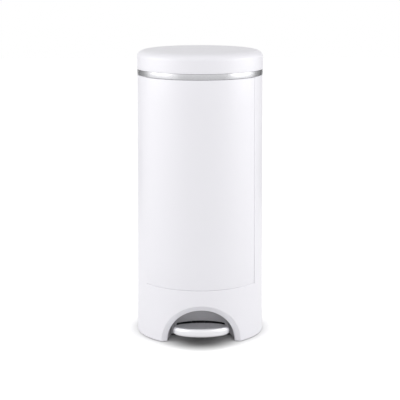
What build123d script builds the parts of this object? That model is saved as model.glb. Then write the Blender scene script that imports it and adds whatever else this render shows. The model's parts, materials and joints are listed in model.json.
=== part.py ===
"""Pedal nappy bin: a round casing with a full-height front door, a flat lid on a rear
hinge, and a foot pedal that lifts the lid through a lever and a push rod.

Millimetres. The origin is on the floor under the middle of the bin, +Z is up and the
pedal faces -Y. Angles round the bin are counted from the front, positive towards +X.
"""

import os
from math import asin, cos, degrees, hypot, radians, sin

from build123d import *

os.makedirs("parts", exist_ok=True)

# Casing
rim_radius = 120.6  # outside, at the top edge
sill_flare = 1.8  # how much wider the casing is at the foot of the door
foot_flare = 2.6  # how much wider again at the bottom edge
rim_height = 508.0
sill_height = 107.0  # top of the base, under the door
foot_height = 1.5  # how far the feet hold the casing off the floor
wall = 2.6
ledge_width = 28.0  # inward ledge that closes the base off from the chamber
ledge_thickness = 3.0
crank_notch_depth = 5.7  # in the rear wall's top edge
tray_wall = 2.0
tray_rim_height = 9.0
floor_gap = 1.0  # round the tray

# Fasteners
screw_radius = 1.5
screw_head_radius = 3.2
screw_head_height = 1.6
screw_hole_ease = 0.2  # on the radius of a clearance hole
screw_recess = 0.1
boss_radius = 4.5
boss_overlap = 0.6  # how far a boss grows into the wall
base_boss_angles = (-100, -145, 100, 145)
base_screw_length = 14.0
collar_boss_height = 16.0
collar_boss_angles = (-80, -130, 80, 130)
collar_screw_length = 14.0
collar_head_sink = 1.0

# Front door
seam_angle = 57.5  # each side of the front
seam_gap = 1.0
door_head_gap = 0.6
door_skin = 2.4
door_edge_round = 0.7
flange_inset = 8.0  # from the rim's outside to the inner face of the door's flange
flange_thickness = 2.0
hinge_angle = 53.0  # the door's pivots, on the left
hinge_inset = 5.6  # from the rim's outside to the pivot
heel_radius = 11.0  # the door's rounded rear edge turns inside the casing's edge
heel_gap = 0.5
door_pin_radius = 2.0
pin_socket_depth = 7.0
pin_socket_height = 9.0
pin_reach = 9.0  # into the door
door_boss_radius = 4.5
door_boss_length = 14.0
door_boss_end = 2.0

# Door liner
liner_thickness = 1.6
liner_gap = 0.2
liner_end_margin = 2.5
liner_hinge_margin = 6.0  # degrees
liner_free_margin = 1.0  # degrees
liner_rib_angles = (-30, 0, 30)
liner_rib_width = 1.2  # degrees
liner_rib_depth = 4.0
liner_rib_margin = 12.0

# Door stops and magnets
magnet_width = 5.0
magnet_depth = 2.0
magnet_height = 22.0
magnet_edge_angle = 2.6  # from the door's free edge
magnet_end_margin = 73.0  # from each end of the door opening
magnet_pocket_gap = 0.1
magnet_air_gap = 0.05
keeper_thickness = 0.5
jamb_width = 1.1  # degrees
latch_jamb_margin = 0.6  # degrees
latch_stop_reach = 4.0  # degrees
latch_stop_backing = 1.2  # behind the magnets
hinge_jamb_margin = 1.2
hinge_stop_margin = 0.8
hinge_stop_thickness = 2.2
hinge_stop_reach = 9.0  # degrees
jamb_overlap = 1.0

# Pedal arch
arch_radius = 65.0  # inside its bevel
arch_bevel = 11.5
arch_land = 2.5  # flat of the surround behind the bevel
arch_margin = 3.0  # width of the surround outside the bevel
recess_depth = 65.0  # from the bottom edge's outside to the recess's back
recess_wall = 2.0
lever_slot_side = 1.5
lever_slot_above = 1.5

# Pedal pad
pedal_side_gap = 9.5  # from the pad's ends to the arch
pedal_reach = 5.5  # beyond the bottom edge's outside
pedal_back_gap = 3.5
pedal_rise = 5.5  # from the lever's pivot to the pad's top
pedal_thickness = 12.5
pedal_skin = 3.0
pedal_rim = 4.0
pedal_edge_round = 4.0
pedal_foot_round = 1.2
pedal_slot_gap = 0.4
pedal_screw_margins = (17.0, 42.0)  # from the pad's front
pedal_screw_length = 5.0
pedal_screw_spare = 0.4

# Lever and its pivot
pivot_setback = 33.9  # from the recess's back
pivot_height = 26.0
pivot_pin_radius = 3.0
pivot_pin_head = 1.5  # wider than the pin, on the radius
pivot_boss_radius = 7.0
pivot_boss_thickness = 6.0
pivot_boss_spread = 14.0
lever_width = 18.0
lever_side_gap = 1.0
lever_hub_radius = 8.0
lever_nose_radius = 4.0
lever_plate = 3.0
lever_wall = 2.5
lever_front_margin = 10.0
lever_rib = 2.0
lever_belly = 30.0  # from the push rod to the lever's deepest part

# Push rod
rod_inset = 10.2  # from the rim's outside
rod_radius = 3.0
rod_foot_radius = 6.0
rod_foot_thickness = 4.0
rod_foot_gap = 0.3
rod_hole_ease = 1.0
rod_head_width = 15.2
rod_head_depth = 14.0
rod_head_above = 7.0  # from the crank pin
rod_head_below = 13.0
rod_head_floor = 2.0
fork_gap = 7.2
slot_ease = 0.7  # on the radius of the crank pin

# Return spring
spring_wire = 1.0  # radius
spring_radius = 5.4
spring_turns = 7
spring_end_gap = 0.1

# Rod guides and duct
guide_half_width = 9.0
guide_height = 12.0
guide_depth = 7.0
guide_low_margin = 23.0
guide_high_margin = 20.0
duct_half_width = 14.0
duct_wall = 1.6
duct_depth = 10.0
duct_foot_width = 6.6
duct_foot_thickness = 2.8
duct_foot_depth = 4.0
duct_top_margin = 6.0  # below the chamber's top

# Collar and trim ring
collar_inset = 1.0
collar_thickness = 3.0
throat_inset = 20.6  # from the rim's outside to the throat
throat_wall = 2.5
throat_depth = 38.0
throat_drop = 0.3  # below the trim ring's top
shelf_lip = 2.0
seat_inset = 7.1  # from the rim's outside to the trim ring's seat
seat_wall = 2.5
ring_overhang = 0.4
ring_gap = 0.4
ring_height = 9.9
ring_lip = 1.2
ring_bulge = 0.5
ring_cut_gap = 0.4
rod_cut_gap = 0.8

# Liner cassette
cassette_width = 34.5
cassette_gap = 1.5
cassette_wall = 1.8
cassette_headroom = 3.3  # below the lid's plug
cassette_slot = 6.0
film_height = 24.0
film_pleats = 5
film_pleat_depth = 3.0
film_inner_gap = 0.6
film_outer_gap = 1.0
cover_lip = 4.0
cover_thickness = 1.6
cover_rise = 1.0

# Lid
lid_overhang = 0.7
lid_gap = 0.7
lid_rise = 35.5
lid_shoulder = 10.0
lid_crown = 1.0
lid_wall = 2.4
plate_side_gap = 1.5
inner_plate_rise = 2.0
inner_plate_thickness = 2.0
plug_gap = 5.5
plug_depth = 10.0
plug_wall = 2.2
seal_inside = 3.0  # inside the throat
seal_outside = 4.0  # outside the throat
seal_gap = 0.3
seal_bead = 1.2
seal_edge = 1.0
lid_boss_inset = 19.5
lid_boss_angles = (45, 135, 225, 315)
lid_screw_length = 15.0
lid_travel = 75.0  # degrees

# Lid hinge and crank
hinge_standoff = 5.4
hinge_drop = 2.0
knuckle_radius = 4.5
knuckle_width = 8.5
knuckle_gap = 0.5
knuckle_web_height = 15.0
knuckle_web_root = 2.0  # inside the lid's wall
knuckle_web_head = 1.0  # behind the lid
knuckle_web_inset = 0.4  # from the back of the knuckle
knuckle_web_rise = 2.0  # above the hinge pin
hinge_pin_radius = 2.0
hinge_pin_head = 1.2
pin_head_thickness = 1.6
crank_drop = 10.0
crank_reach = 14.0
crank_half_width = 8.4
crank_gap = 0.6
crank_plate = 3.0
crank_arm_gap = 0.6
crank_arm_depth = 3.4
crank_arm_root = 1.0  # in front of the hinge pin
crank_arm_slant = 2.5
crank_neck = 4.0  # in front of the hinge pin
crank_heel = 2.0  # behind the hinge pin and above it
crank_eye_radius = 4.2
crank_pin_radius = 2.5
crank_screw_setback = 14.5
crank_screw_length = 5.0
crank_arm_reach = 10.5  # beyond its screw
bracket_width = 9.0
bracket_foot_width = 7.0
bracket_foot_thickness = 2.5
bracket_foot_depth = 5.0
bracket_setback = 9.0  # inwards from the ring's seat
bracket_heel = 1.0  # inside the rim below, and behind the pin above
bracket_crest = 3.0  # above the pin
bracket_rise = 0.5  # above the pin, in front of it
bracket_lean = 4.0
bracket_screw_side = 3.0
bracket_screw_head = 2.8
bracket_screw_rise = 0.5  # above the casing's rim

# Flaps
flap_axis_inset = 7.0
flap_axis_drop = 7.5
flap_end_inset = 10.0
flap_thickness = 2.0
flap_gap = 0.5  # each side of the middle
flap_barrel_radius = 3.2
flap_barrel_gap = 1.5
flap_pin_radius = 1.5
flap_pin_reach = 6.5
flap_ribs = (-30, 0, 30)
flap_rib_width = 1.6
flap_rib_depth = 3.0
flap_rib_margin = 4.0
flap_frame_plate = 3.0
flap_frame_wall = 3.0
flap_frame_end = 6.0
flap_frame_depth = 13.8

# Cutter
cutter_half_width = 16.0
cutter_depth = 8.8
cutter_height = 14.0
cutter_slot = 2.0
cutter_cover = 3.0
cutter_side = 4.0
blade_thickness = 0.6
blade_low_edge = 8.8
blade_high_edge = 4.8

# Base plate and feet
plate_thickness = 3.0
plate_arch_gap = 4.0
plate_back_gap = 1.0  # behind the recess
foot_pad_radius = 10.0
foot_pad_inset = 20.0
foot_pad_angles = (-62, 62, -128, 128)

# Clearances
running = 0.06  # on the radius of a turning or sliding fit
seated = 0.2  # between pieces that are screwed or clipped together
fitted = 0.02  # on the radius of a pin or screw in its own body

# Modelling
beyond = 1.0  # how far a cut reaches past what it cuts
touch = 0.05  # how near an edge is to a surface that it lies on

# Worked out from the above: casing and door
sill_radius = rim_radius + sill_flare
foot_radius = sill_radius + foot_flare
far = 2 * foot_radius
sky = 2 * rim_height
sill_top = sill_height + seam_gap
door_top = rim_height - door_head_gap
flange_radius = rim_radius - flange_inset
hinge_radius = rim_radius - hinge_inset
half_gap = degrees(seam_gap / 2 / sill_radius)
liner_outer = flange_radius - liner_gap
keeper_outer = liner_outer - liner_thickness - magnet_air_gap
latch_stop_outer = keeper_outer - keeper_thickness - magnet_air_gap
latch_stop_inner = latch_stop_outer - magnet_depth - latch_stop_backing
heel_clearance = heel_radius + heel_gap
jamb_angle = hinge_angle + degrees((heel_clearance + hinge_jamb_margin) / hinge_radius)
hinge_stop_outer = hinge_radius - heel_clearance - hinge_stop_margin
hinge_stop_inner = hinge_stop_outer - hinge_stop_thickness
magnet_angle = seam_angle - magnet_edge_angle
magnet_heights = (sill_height + magnet_end_margin, rim_height - magnet_end_margin)
base_boss_circle = sill_radius - wall - ledge_width / 2
collar_boss_circle = rim_radius - wall - boss_radius + boss_overlap

# Worked out: pedal, lever and rod
plate_top = foot_height + plate_thickness
arch_outer = arch_radius + arch_bevel
frame_depth = arch_bevel + arch_land
recess_back = recess_depth - foot_radius
pedal_half_width = arch_radius - pedal_side_gap
pedal_front = -foot_radius - pedal_reach
pedal_back = recess_back - pedal_back_gap
pedal_half_depth = (pedal_back - pedal_front) / 2
pedal_top = pivot_height + pedal_rise
pedal_bottom = pedal_top - pedal_thickness
pedal_screw_places = [pedal_front + margin for margin in pedal_screw_margins]
lever_top = pedal_top - pedal_skin - seated
pivot_y = recess_back + pivot_setback
rod_y = rim_radius - rod_inset
rod_foot_low = pivot_height + lever_nose_radius + rod_foot_gap

# Worked out: top of the bin
collar_top = rim_height + collar_thickness
collar_head_low = collar_top - collar_head_sink
collar_outer = rim_radius - collar_inset
throat_radius = rim_radius - throat_inset
throat_outer = throat_radius + throat_wall
throat_bottom = rim_height - throat_depth
shelf_top = throat_bottom + throat_wall
cassette_outer = throat_radius - cassette_gap
cassette_inner = cassette_outer - cassette_width
shelf_inner = cassette_inner - shelf_lip
seat_inner = rim_radius - seat_inset
seat_outer = seat_inner + seat_wall
ring_radius = rim_radius + ring_overhang
ring_bottom = rim_height + ring_gap
ring_top = rim_height + ring_gap + ring_height
throat_top = ring_top - throat_drop
lid_radius = rim_radius + lid_overhang
lid_bottom = ring_top + lid_gap
lid_top = lid_bottom + lid_rise
inner_plate_radius = lid_radius - lid_wall - plate_side_gap
inner_plate_bottom = lid_bottom + inner_plate_rise
inner_plate_top = inner_plate_bottom + inner_plate_thickness
plug_radius = throat_radius - plug_gap
lid_boss_circle = plug_radius - lid_boss_inset
cassette_low = shelf_top + seated
cassette_top = inner_plate_bottom - plug_depth - cassette_headroom
film_low = cassette_low + cassette_wall + seated

# Worked out: hinge, crank and flaps
hinge_y = rim_radius + hinge_standoff
hinge_height = lid_bottom - hinge_drop
crank_y = hinge_y - crank_reach
crank_height = hinge_height - crank_drop
crank_screw_y = plug_radius + crank_screw_setback
bracket_inner = crank_half_width + crank_gap
bracket_outer = bracket_inner + bracket_width
bracket_screw_x = bracket_outer + bracket_screw_side
bracket_front = seat_inner - bracket_setback
bracket_screw_y = bracket_front + bracket_foot_depth - screw_radius
knuckle_inner = bracket_outer + knuckle_gap
knuckle_outer = knuckle_inner + knuckle_width
flap_axis_x = cassette_inner - flap_axis_inset
flap_length = 2 * (cassette_inner - flap_end_inset)
flap_axis_height = throat_bottom - flap_axis_drop
flap_frame_top = throat_bottom - seated
flap_frame_low = flap_frame_top - flap_frame_depth
flap_well_x = flap_axis_x + flap_barrel_radius + flap_barrel_gap
flap_well_y = flap_length / 2 + flap_barrel_gap
cutter_front = -flap_well_y - flap_frame_end - seated
cutter_top = flap_frame_top - flap_frame_plate

# Worked out: how the lid drives the pedal
open_angle = radians(lid_travel)
rod_travel = crank_reach * sin(open_angle) + crank_drop * (1 - cos(open_angle))
sweep_far = hypot(crank_reach, crank_drop)
sweep_near = min(crank_reach, crank_reach * cos(open_angle) + crank_drop * sin(open_angle))
slot_radius = crank_pin_radius + slot_ease
slot_length = sweep_far - sweep_near + 2 * slot_radius


def around(angle, radius):
    """A point at an angle from the front of the bin, in plan."""
    return radius * sin(radians(angle)), -radius * cos(radians(angle))


hinge_x, hinge_plan_y = around(-hinge_angle, hinge_radius)


def disc(radius, bottom, top):
    """A round slab about the bin's own axis."""
    return Pos(0, 0, (bottom + top) / 2) * Cylinder(radius, top - bottom)


def ring(inner, outer, bottom, top):
    """A straight-walled ring about the bin's own axis."""
    return disc(outer, bottom, top) - disc(inner, bottom - beyond, top + beyond)


def post(x, y, radius, bottom, top):
    """An upright round post."""
    return Pos(x, y, (bottom + top) / 2) * Cylinder(radius, top - bottom)


def bar(x, y, z, radius, length):
    """A round bar along X, centred on a point."""
    return Pos(x, y, z) * Rot(0, 90, 0) * Cylinder(radius, length)


def rod_along_y(x, z, radius, length):
    """A round bar along Y, centred on the bin's middle."""
    return Pos(x, 0, z) * Rot(90, 0, 0) * Cylinder(radius, length)


def block(x_range, y_range, z_range):
    """A rectangular block between three pairs of limits."""
    spans = (x_range, y_range, z_range)
    centre = [(low + high) / 2 for low, high in spans]
    return Pos(*centre) * Box(*[high - low for low, high in spans])


def wedge(start, end, bottom, top):
    """A sector between two angles from the front, reaching past the casing."""
    angles = (start, (start + end) / 2, end)
    corners = [(0, 0)] + [around(angle, far) for angle in angles]
    outline = make_face(Polyline(*corners, close=True))
    return extrude(Pos(0, 0, bottom) * outline, top - bottom, dir=(0, 0, 1))


def turned(*edges):
    """A solid of revolution from a closed outline of radius and height."""
    return revolve(Plane.XZ * make_face(Wire(edges)), Axis.Z)


def turned_polygon(*points):
    """A solid of revolution from a polygon of radius and height."""
    return revolve(Plane.XZ * make_face(Polyline(*points, close=True)), Axis.Z)


def side_profile(low_x, high_x, *points):
    """A plate across X, from a polygon of Y and height."""
    face = Plane.YZ * make_face(Polyline(*points, close=True))
    return extrude(Pos(low_x, 0, 0) * face, high_x - low_x, dir=(1, 0, 0))


def body_form(inset):
    """The bin's outer form below the trim ring, moved inwards by a distance."""
    top = (rim_radius - inset, rim_height)
    sill = (sill_radius - inset, sill_height)
    foot = (foot_radius - inset, foot_height)
    slope = (sill_radius - rim_radius, sill_height - rim_height)
    return turned(
        Line((0, foot_height), foot),
        TangentArc(sill, foot, tangent=slope),
        Line(sill, top),
        Line(top, (0, rim_height)),
        Line((0, rim_height), (0, foot_height)),
    )


def arch_form(radius, back):
    """The half-round tunnel over the pedal, open to the floor and the front."""
    middle = (back - far) / 2
    round_top = Pos(0, middle, foot_height) * Rot(90, 0, 0) * Cylinder(radius, back + far)
    return round_top + block((-radius, radius), (-far, back), (-radius, foot_height))


def screw(x, y, head_bottom, length):
    """A pan-head screw driven upwards."""
    head_top = head_bottom + screw_head_height
    head = post(x, y, screw_head_radius, head_bottom, head_top)
    return head + post(x, y, screw_radius, head_top, head_top + length)


def save(name, shape):
    """Write one named piece."""
    export_step(Compound(children=list(shape.solids())), f"parts/{name}.step")


# ---------------------------------------------------------------- casing


def is_arch_edge(edge):
    """Whether an edge is where the arch's tunnel meets the casing's outside."""
    point = edge @ 0.3
    on_arch = abs(hypot(point.X, point.Z - foot_height) - arch_radius) < touch
    outside = hypot(point.X, point.Y) > rim_radius
    return on_arch and outside and point.Z > foot_height + touch


def arch_frame():
    """Thick bevelled surround of the pedal arch, moulded with the casing."""
    front = body_form(0) - arch_form(arch_radius, recess_back)
    front = chamfer([edge for edge in front.edges() if is_arch_edge(edge)], arch_bevel)
    surround = front & arch_form(arch_outer + arch_margin, recess_back)
    return surround - body_form(frame_depth)


def latch_jamb():
    """Return and stop lip behind the door's free edge, where the magnets sit."""
    start = seam_angle + latch_jamb_margin
    end = start + jamb_width
    back = wedge(start, end, sill_height, rim_height) & body_form(wall / 2)
    back -= disc(latch_stop_inner, sill_height, rim_height)
    stop = ring(latch_stop_inner, latch_stop_outer, sill_height, rim_height)
    return back + (stop & wedge(seam_angle - latch_stop_reach, end, sill_height, rim_height))


def hinge_jamb():
    """Return and stop lip behind the door's heel, up to the collar's throat."""
    top = throat_bottom - jamb_overlap
    start = -jamb_angle - jamb_width
    back = wedge(start, -jamb_angle, sill_height, top) & body_form(wall / 2)
    back -= disc(hinge_stop_inner, sill_height, top)
    stop = ring(hinge_stop_inner, hinge_stop_outer, sill_height, top)
    return back + (stop & wedge(start, hinge_stop_reach - jamb_angle, sill_height, top))


def door_opening():
    """What the door and its swinging heel take out of the casing's wall."""
    top = rim_height + beyond
    opening = wedge(-hinge_angle, seam_angle + half_gap, sill_height, top)
    return opening + post(hinge_x, hinge_plan_y, heel_clearance, sill_height, top)


def ledge():
    """Inward ledge at the sill, with a hole for the push rod."""
    plate = body_form(wall / 2) & disc(foot_radius, sill_height - ledge_thickness, sill_height)
    plate -= disc(sill_radius - wall - ledge_width, 0, rim_height)
    return plate - post(0, rod_y, rod_radius + rod_hole_ease, 0, rim_height)


def casing_holes():
    """Screw holes, pin socket, magnet pockets and the crank's notch."""
    holes = post(
        hinge_x,
        hinge_plan_y,
        door_pin_radius + fitted,
        sill_height - pin_socket_depth,
        sill_height + beyond,
    )
    hole_radius = screw_radius + fitted
    for angle in base_boss_angles:
        spot = around(angle, base_boss_circle)
        holes += post(*spot, hole_radius, plate_top - beyond, plate_top + base_screw_length)
    for angle in collar_boss_angles:
        spot = around(angle, collar_boss_circle)
        holes += post(*spot, hole_radius, rim_height - collar_screw_length, rim_height + beyond)
    for height in magnet_heights:
        holes += magnet_at(height, magnet_pocket_gap)
    notch_y = (rod_y, far)
    notch_z = (rim_height - crank_notch_depth, rim_height + beyond)
    return holes + block((-bracket_inner, bracket_inner), notch_y, notch_z)


def body_casing():
    """One moulding: round base with the pedal arch, and a wall open for the door."""
    shell = body_form(0) - body_form(wall) - door_opening()
    shell -= arch_form(arch_outer + arch_margin / 3, recess_back)
    casing = shell + ledge() + arch_frame() + latch_jamb() + hinge_jamb()
    casing += post(
        hinge_x, hinge_plan_y, door_boss_radius, sill_height - pin_socket_height, sill_height
    )
    for angle in base_boss_angles:
        spot = around(angle, base_boss_circle)
        casing += post(*spot, boss_radius, plate_top, sill_height - ledge_thickness / 2)
    for angle in collar_boss_angles:
        spot = around(angle, collar_boss_circle)
        casing += post(*spot, boss_radius, rim_height - collar_boss_height, rim_height)
    return casing - casing_holes()


def magnet_at(height, gap):
    """A catch magnet in the stop lip's outer face, grown by a gap for its pocket."""
    depth = magnet_depth + gap
    x, y = around(magnet_angle, latch_stop_outer - depth / 2)
    size = Box(magnet_width + 2 * gap, depth, magnet_height + 2 * gap)
    if gap:
        size += Pos(0, -depth / 2, 0) * size
    return Pos(x, y, height) * Rot(0, 0, magnet_angle) * size


def catch_magnets():
    """Two flat magnets set flush in the stop lip."""
    return Compound(children=[magnet_at(height, 0) for height in magnet_heights])


def pedal_recess():
    """Grey moulded tunnel behind the arch, with a slot for the lever."""
    tunnel = arch_form(arch_radius + recess_wall, recess_back + recess_wall)
    tunnel -= arch_form(arch_radius, recess_back)
    tunnel &= body_form(frame_depth + seated)
    tunnel &= disc(foot_radius, plate_top + seated, sill_height)
    slot_half = lever_width / 2 + lever_slot_side
    slot_y = (recess_back - beyond, recess_back + 2 * recess_wall)
    return tunnel - block((-slot_half, slot_half), slot_y, (0, lever_top + lever_slot_above))


def pivot_boss(side):
    """One of the base plate's two upright bosses for the lever's pin."""
    near = lever_width / 2 + lever_side_gap
    low_x, high_x = sorted((side * near, side * (near + pivot_boss_thickness)))
    boss = side_profile(
        low_x,
        high_x,
        (pivot_y - pivot_boss_spread, foot_height + plate_thickness / 2),
        (pivot_y + pivot_boss_spread, foot_height + plate_thickness / 2),
        (pivot_y + pivot_boss_radius, pivot_height),
        (pivot_y - pivot_boss_radius, pivot_height),
    )
    middle = (low_x + high_x) / 2
    return boss + bar(middle, pivot_y, pivot_height, pivot_boss_radius, pivot_boss_thickness)


def base_plate():
    """Bottom cover with the lever's two pivot bosses."""
    plate = disc(foot_radius - wall - seated, foot_height, plate_top)
    reach = arch_outer + plate_arch_gap
    cut_y = (-far, recess_back + recess_wall + plate_back_gap)
    plate -= block((-reach, reach), cut_y, (0, plate_top + beyond))
    plate += pivot_boss(-1) + pivot_boss(1)
    plate -= bar(0, pivot_y, pivot_height, pivot_pin_radius + fitted, foot_radius)
    head_top = foot_height + screw_recess + screw_head_height
    for angle in base_boss_angles:
        spot = around(angle, base_boss_circle)
        plate -= post(*spot, screw_radius + screw_hole_ease, 0, plate_top + beyond)
        plate -= post(*spot, screw_head_radius + screw_hole_ease, 0, head_top)
    return plate


def base_screws():
    """Four screws that hold the base plate."""
    spots = [around(angle, base_boss_circle) for angle in base_boss_angles]
    low = foot_height + screw_recess
    return Compound(children=[screw(*spot, low, base_screw_length) for spot in spots])


def rubber_feet():
    """Four round pads under the base plate."""
    spots = [around(angle, foot_radius - foot_pad_inset) for angle in foot_pad_angles]
    return Compound(children=[post(*spot, foot_pad_radius, 0, foot_height) for spot in spots])


def pivot_pin():
    """Steel pin that the lever turns on."""
    length = lever_width + 2 * (lever_side_gap + pivot_boss_thickness)
    head_x = (length + pin_head_thickness) / 2
    head_radius = pivot_pin_radius + pivot_pin_head
    pin = bar(0, pivot_y, pivot_height, pivot_pin_radius, length)
    return pin + bar(head_x, pivot_y, pivot_height, head_radius, pin_head_thickness)


def chamber_floor():
    """Dished tray that the full bag stands on."""
    radius = hinge_stop_inner - floor_gap
    tray = disc(radius, sill_height, sill_height + tray_rim_height)
    return tray - disc(radius - tray_wall, sill_height + tray_wall, rim_height)


# ---------------------------------------------------------------- front door


def is_door_rim(edge):
    """Whether an edge runs round the outside face of the door's skin."""
    middle = edge @ 0.5
    share = (middle.Z - sill_height) / (rim_height - sill_height)
    surface = sill_radius - sill_flare * share
    return abs(hypot(middle.X, middle.Y) - surface) < touch and edge.length > heel_radius / 2


def door_field():
    """The door's outline in plan, with its rounded heel about the pivots."""
    field = wedge(-hinge_angle, seam_angle - half_gap, sill_top, door_top)
    return field + post(hinge_x, hinge_plan_y, heel_radius, sill_top, door_top)


def door_flange():
    """Stiffening flange along the door's top, bottom and free edge."""
    band = body_form(door_skin / 2) & door_field()
    band -= disc(flange_radius, 0, rim_height)
    free_edge = seam_angle - half_gap
    edge_width = degrees(flange_thickness / flange_radius)
    low = band & disc(foot_radius, sill_top, sill_top + flange_thickness)
    high = band & disc(foot_radius, door_top - flange_thickness, door_top)
    return low + high + (band & wedge(free_edge - edge_width, free_edge, sill_top, door_top))


def front_door():
    """Curved skin with a stiffening flange, a rounded heel and two pivot bosses."""
    skin = (body_form(0) & door_field()) - body_form(door_skin)
    skin = fillet([edge for edge in skin.edges() if is_door_rim(edge)], door_edge_round)
    door = skin + door_flange()
    low_end = sill_top + door_boss_length
    high_end = door_top - door_boss_length
    bosses = post(hinge_x, hinge_plan_y, door_boss_radius, sill_top, low_end)
    bosses += post(hinge_x, hinge_plan_y, door_boss_radius, high_end, door_top)
    door += bosses & body_form(door_skin / 2)
    bore = door_pin_radius + running
    door -= post(hinge_x, hinge_plan_y, bore, sill_top - beyond, low_end - door_boss_end)
    return door - post(hinge_x, hinge_plan_y, bore, high_end + door_boss_end, door_top + beyond)


def door_liner():
    """Inner panel screwed over the door's flange, with moulded stiffening ribs."""
    low = sill_top + liner_end_margin
    high = door_top - liner_end_margin
    start = liner_hinge_margin - hinge_angle
    panel = ring(liner_outer - liner_thickness, liner_outer, low, high)
    panel &= wedge(start, seam_angle - liner_free_margin, low, high)
    low += liner_rib_margin
    high -= liner_rib_margin
    ribs = ring(liner_outer - liner_thickness / 2, flange_radius + liner_rib_depth, low, high)
    for angle in liner_rib_angles:
        half = liner_rib_width / 2
        panel += ribs & wedge(angle - half, angle + half, low, high)
    return panel


def keeper_plates():
    """Two thin steel plates on the liner, facing the magnets."""
    x, y = around(magnet_angle, keeper_outer - keeper_thickness / 2)
    plate = Rot(0, 0, magnet_angle) * Box(magnet_width, keeper_thickness, magnet_height)
    return Compound(children=[Pos(x, y, height) * plate for height in magnet_heights])


def door_hinge_pins():
    """A pin up from the sill and a pin down from the collar."""
    low_end = sill_height - pin_socket_depth
    low = post(hinge_x, hinge_plan_y, door_pin_radius, low_end, sill_top + pin_reach)
    high_end = collar_top - screw_recess
    high = post(hinge_x, hinge_plan_y, door_pin_radius, door_top - pin_reach, high_end)
    return Compound(children=[low, high])


# ---------------------------------------------------------------- top of the bin


def hinge_gap(bottom):
    """The gap that the collar's seat and the trim ring leave for the hinge brackets."""
    half = bracket_outer + ring_cut_gap
    return block((-half, half), (seat_inner - seat_wall, far), (bottom, sky))


def top_collar():
    """Collar over the casing's rim: flange, trim seat, throat and cassette shelf."""
    collar = ring(throat_radius, collar_outer, rim_height, collar_top)
    collar += ring(throat_radius, throat_outer, throat_bottom, throat_top)
    collar += ring(shelf_inner, throat_outer, throat_bottom, shelf_top)
    collar += ring(seat_inner, seat_outer, rim_height, throat_top)
    slot_half = rod_head_width / 2 + rod_cut_gap
    slot_y = (throat_outer + ring_cut_gap, far)
    collar -= block((-slot_half, slot_half), slot_y, (rim_height - beyond, sky))
    collar -= hinge_gap(collar_top)
    pin_hole = door_pin_radius + fitted
    collar -= post(hinge_x, hinge_plan_y, pin_hole, rim_height - beyond, collar_top + beyond)
    for angle in collar_boss_angles:
        spot = around(angle, collar_boss_circle)
        collar -= post(*spot, screw_radius + screw_hole_ease, rim_height - beyond, sky)
        collar -= collar_head_hole(spot)
    for x in (-bracket_screw_x, bracket_screw_x):
        hole_z = (rim_height - beyond, collar_top + beyond)
        collar -= post(x, bracket_screw_y, screw_radius + fitted, *hole_z)
    return collar


def collar_head_hole(spot):
    """Room for a collar screw's head, sunk in the collar and under the trim ring."""
    radius = screw_head_radius + screw_hole_ease
    return post(*spot, radius, collar_head_low, ring_top + beyond)


def collar_screws():
    """Four screws that hold the collar on the casing."""
    tip = rim_height - collar_screw_length + seated
    screws = []
    for angle in collar_boss_angles:
        spot = around(angle, collar_boss_circle)
        head = post(*spot, screw_head_radius, collar_head_low, collar_head_low + screw_head_height)
        screws.append(head + post(*spot, screw_radius, tip, collar_head_low))
    return Compound(children=screws)


def trim_ring():
    """Bright ring between the casing and the lid, open at the hinge."""
    inner = seat_outer + seated
    low = collar_top + seated
    lip = ring_radius - ring_lip
    edge = ring_radius - ring_bulge
    middle = (ring_bottom + ring_top) / 2
    band = turned(
        Line((inner, low), (lip, low)),
        Line((lip, low), (lip, ring_bottom)),
        Line((lip, ring_bottom), (edge, ring_bottom)),
        ThreePointArc((edge, ring_bottom), (ring_radius, middle), (edge, ring_top)),
        Line((edge, ring_top), (inner, ring_top)),
        Line((inner, ring_top), (inner, low)),
    )
    head_top = collar_head_low + screw_head_height + seated
    for angle in collar_boss_angles:
        spot = around(angle, collar_boss_circle)
        band -= post(*spot, screw_head_radius + screw_hole_ease, collar_top, head_top)
    return band - hinge_gap(0)


def hinge_bracket(side):
    """One ear on the collar, with a screwed foot, for the lid's hinge pin."""
    low_x, high_x = sorted((side * bracket_inner, side * bracket_outer))
    ear = side_profile(
        low_x,
        high_x,
        (bracket_front, collar_top),
        (rim_radius - bracket_heel, collar_top),
        (hinge_y + bracket_heel, hinge_height - knuckle_radius),
        (hinge_y, hinge_height + bracket_crest),
        (rim_radius, hinge_height + bracket_rise),
        (bracket_front + bracket_lean, hinge_height + bracket_rise),
    )
    middle = (low_x + high_x) / 2
    ear += bar(middle, hinge_y, hinge_height, knuckle_radius, bracket_width)
    foot_x = sorted((side * bracket_inner, side * (bracket_outer + bracket_foot_width)))
    foot_y = (bracket_front, bracket_front + bracket_foot_depth)
    foot_top = collar_top + bracket_foot_thickness
    ear += block(foot_x, foot_y, (collar_top, foot_top))
    ear -= bar(0, hinge_y, hinge_height, hinge_pin_radius + running, far)
    hole_x = side * bracket_screw_x
    return ear - post(hole_x, bracket_screw_y, screw_radius + fitted, rim_height, foot_top + beyond)


def hinge_brackets():
    """Two ears on the collar that carry the lid's hinge pin."""
    return Compound(children=[hinge_bracket(-1), hinge_bracket(1)])


def bracket_screws():
    """Screws through the ears' feet."""
    head_low = collar_top + bracket_foot_thickness
    screws = []
    for x in (-bracket_screw_x, bracket_screw_x):
        head_top = head_low + screw_head_height
        head = post(x, bracket_screw_y, bracket_screw_head, head_low, head_top)
        shank = post(x, bracket_screw_y, screw_radius, rim_height + bracket_screw_rise, head_low)
        screws.append(head + shank)
    return Compound(children=screws)


def liner_cassette():
    """Ring-shaped tray that holds the gathered liner."""
    inner = cassette_inner + cassette_wall
    tray = ring(cassette_inner, cassette_outer, cassette_low, cassette_top)
    tray -= ring(inner, cassette_outer - cassette_wall, cassette_low + cassette_wall, sky)
    return tray - ring(cassette_inner - beyond, inner + beyond, cassette_top - cassette_slot, sky)


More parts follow.
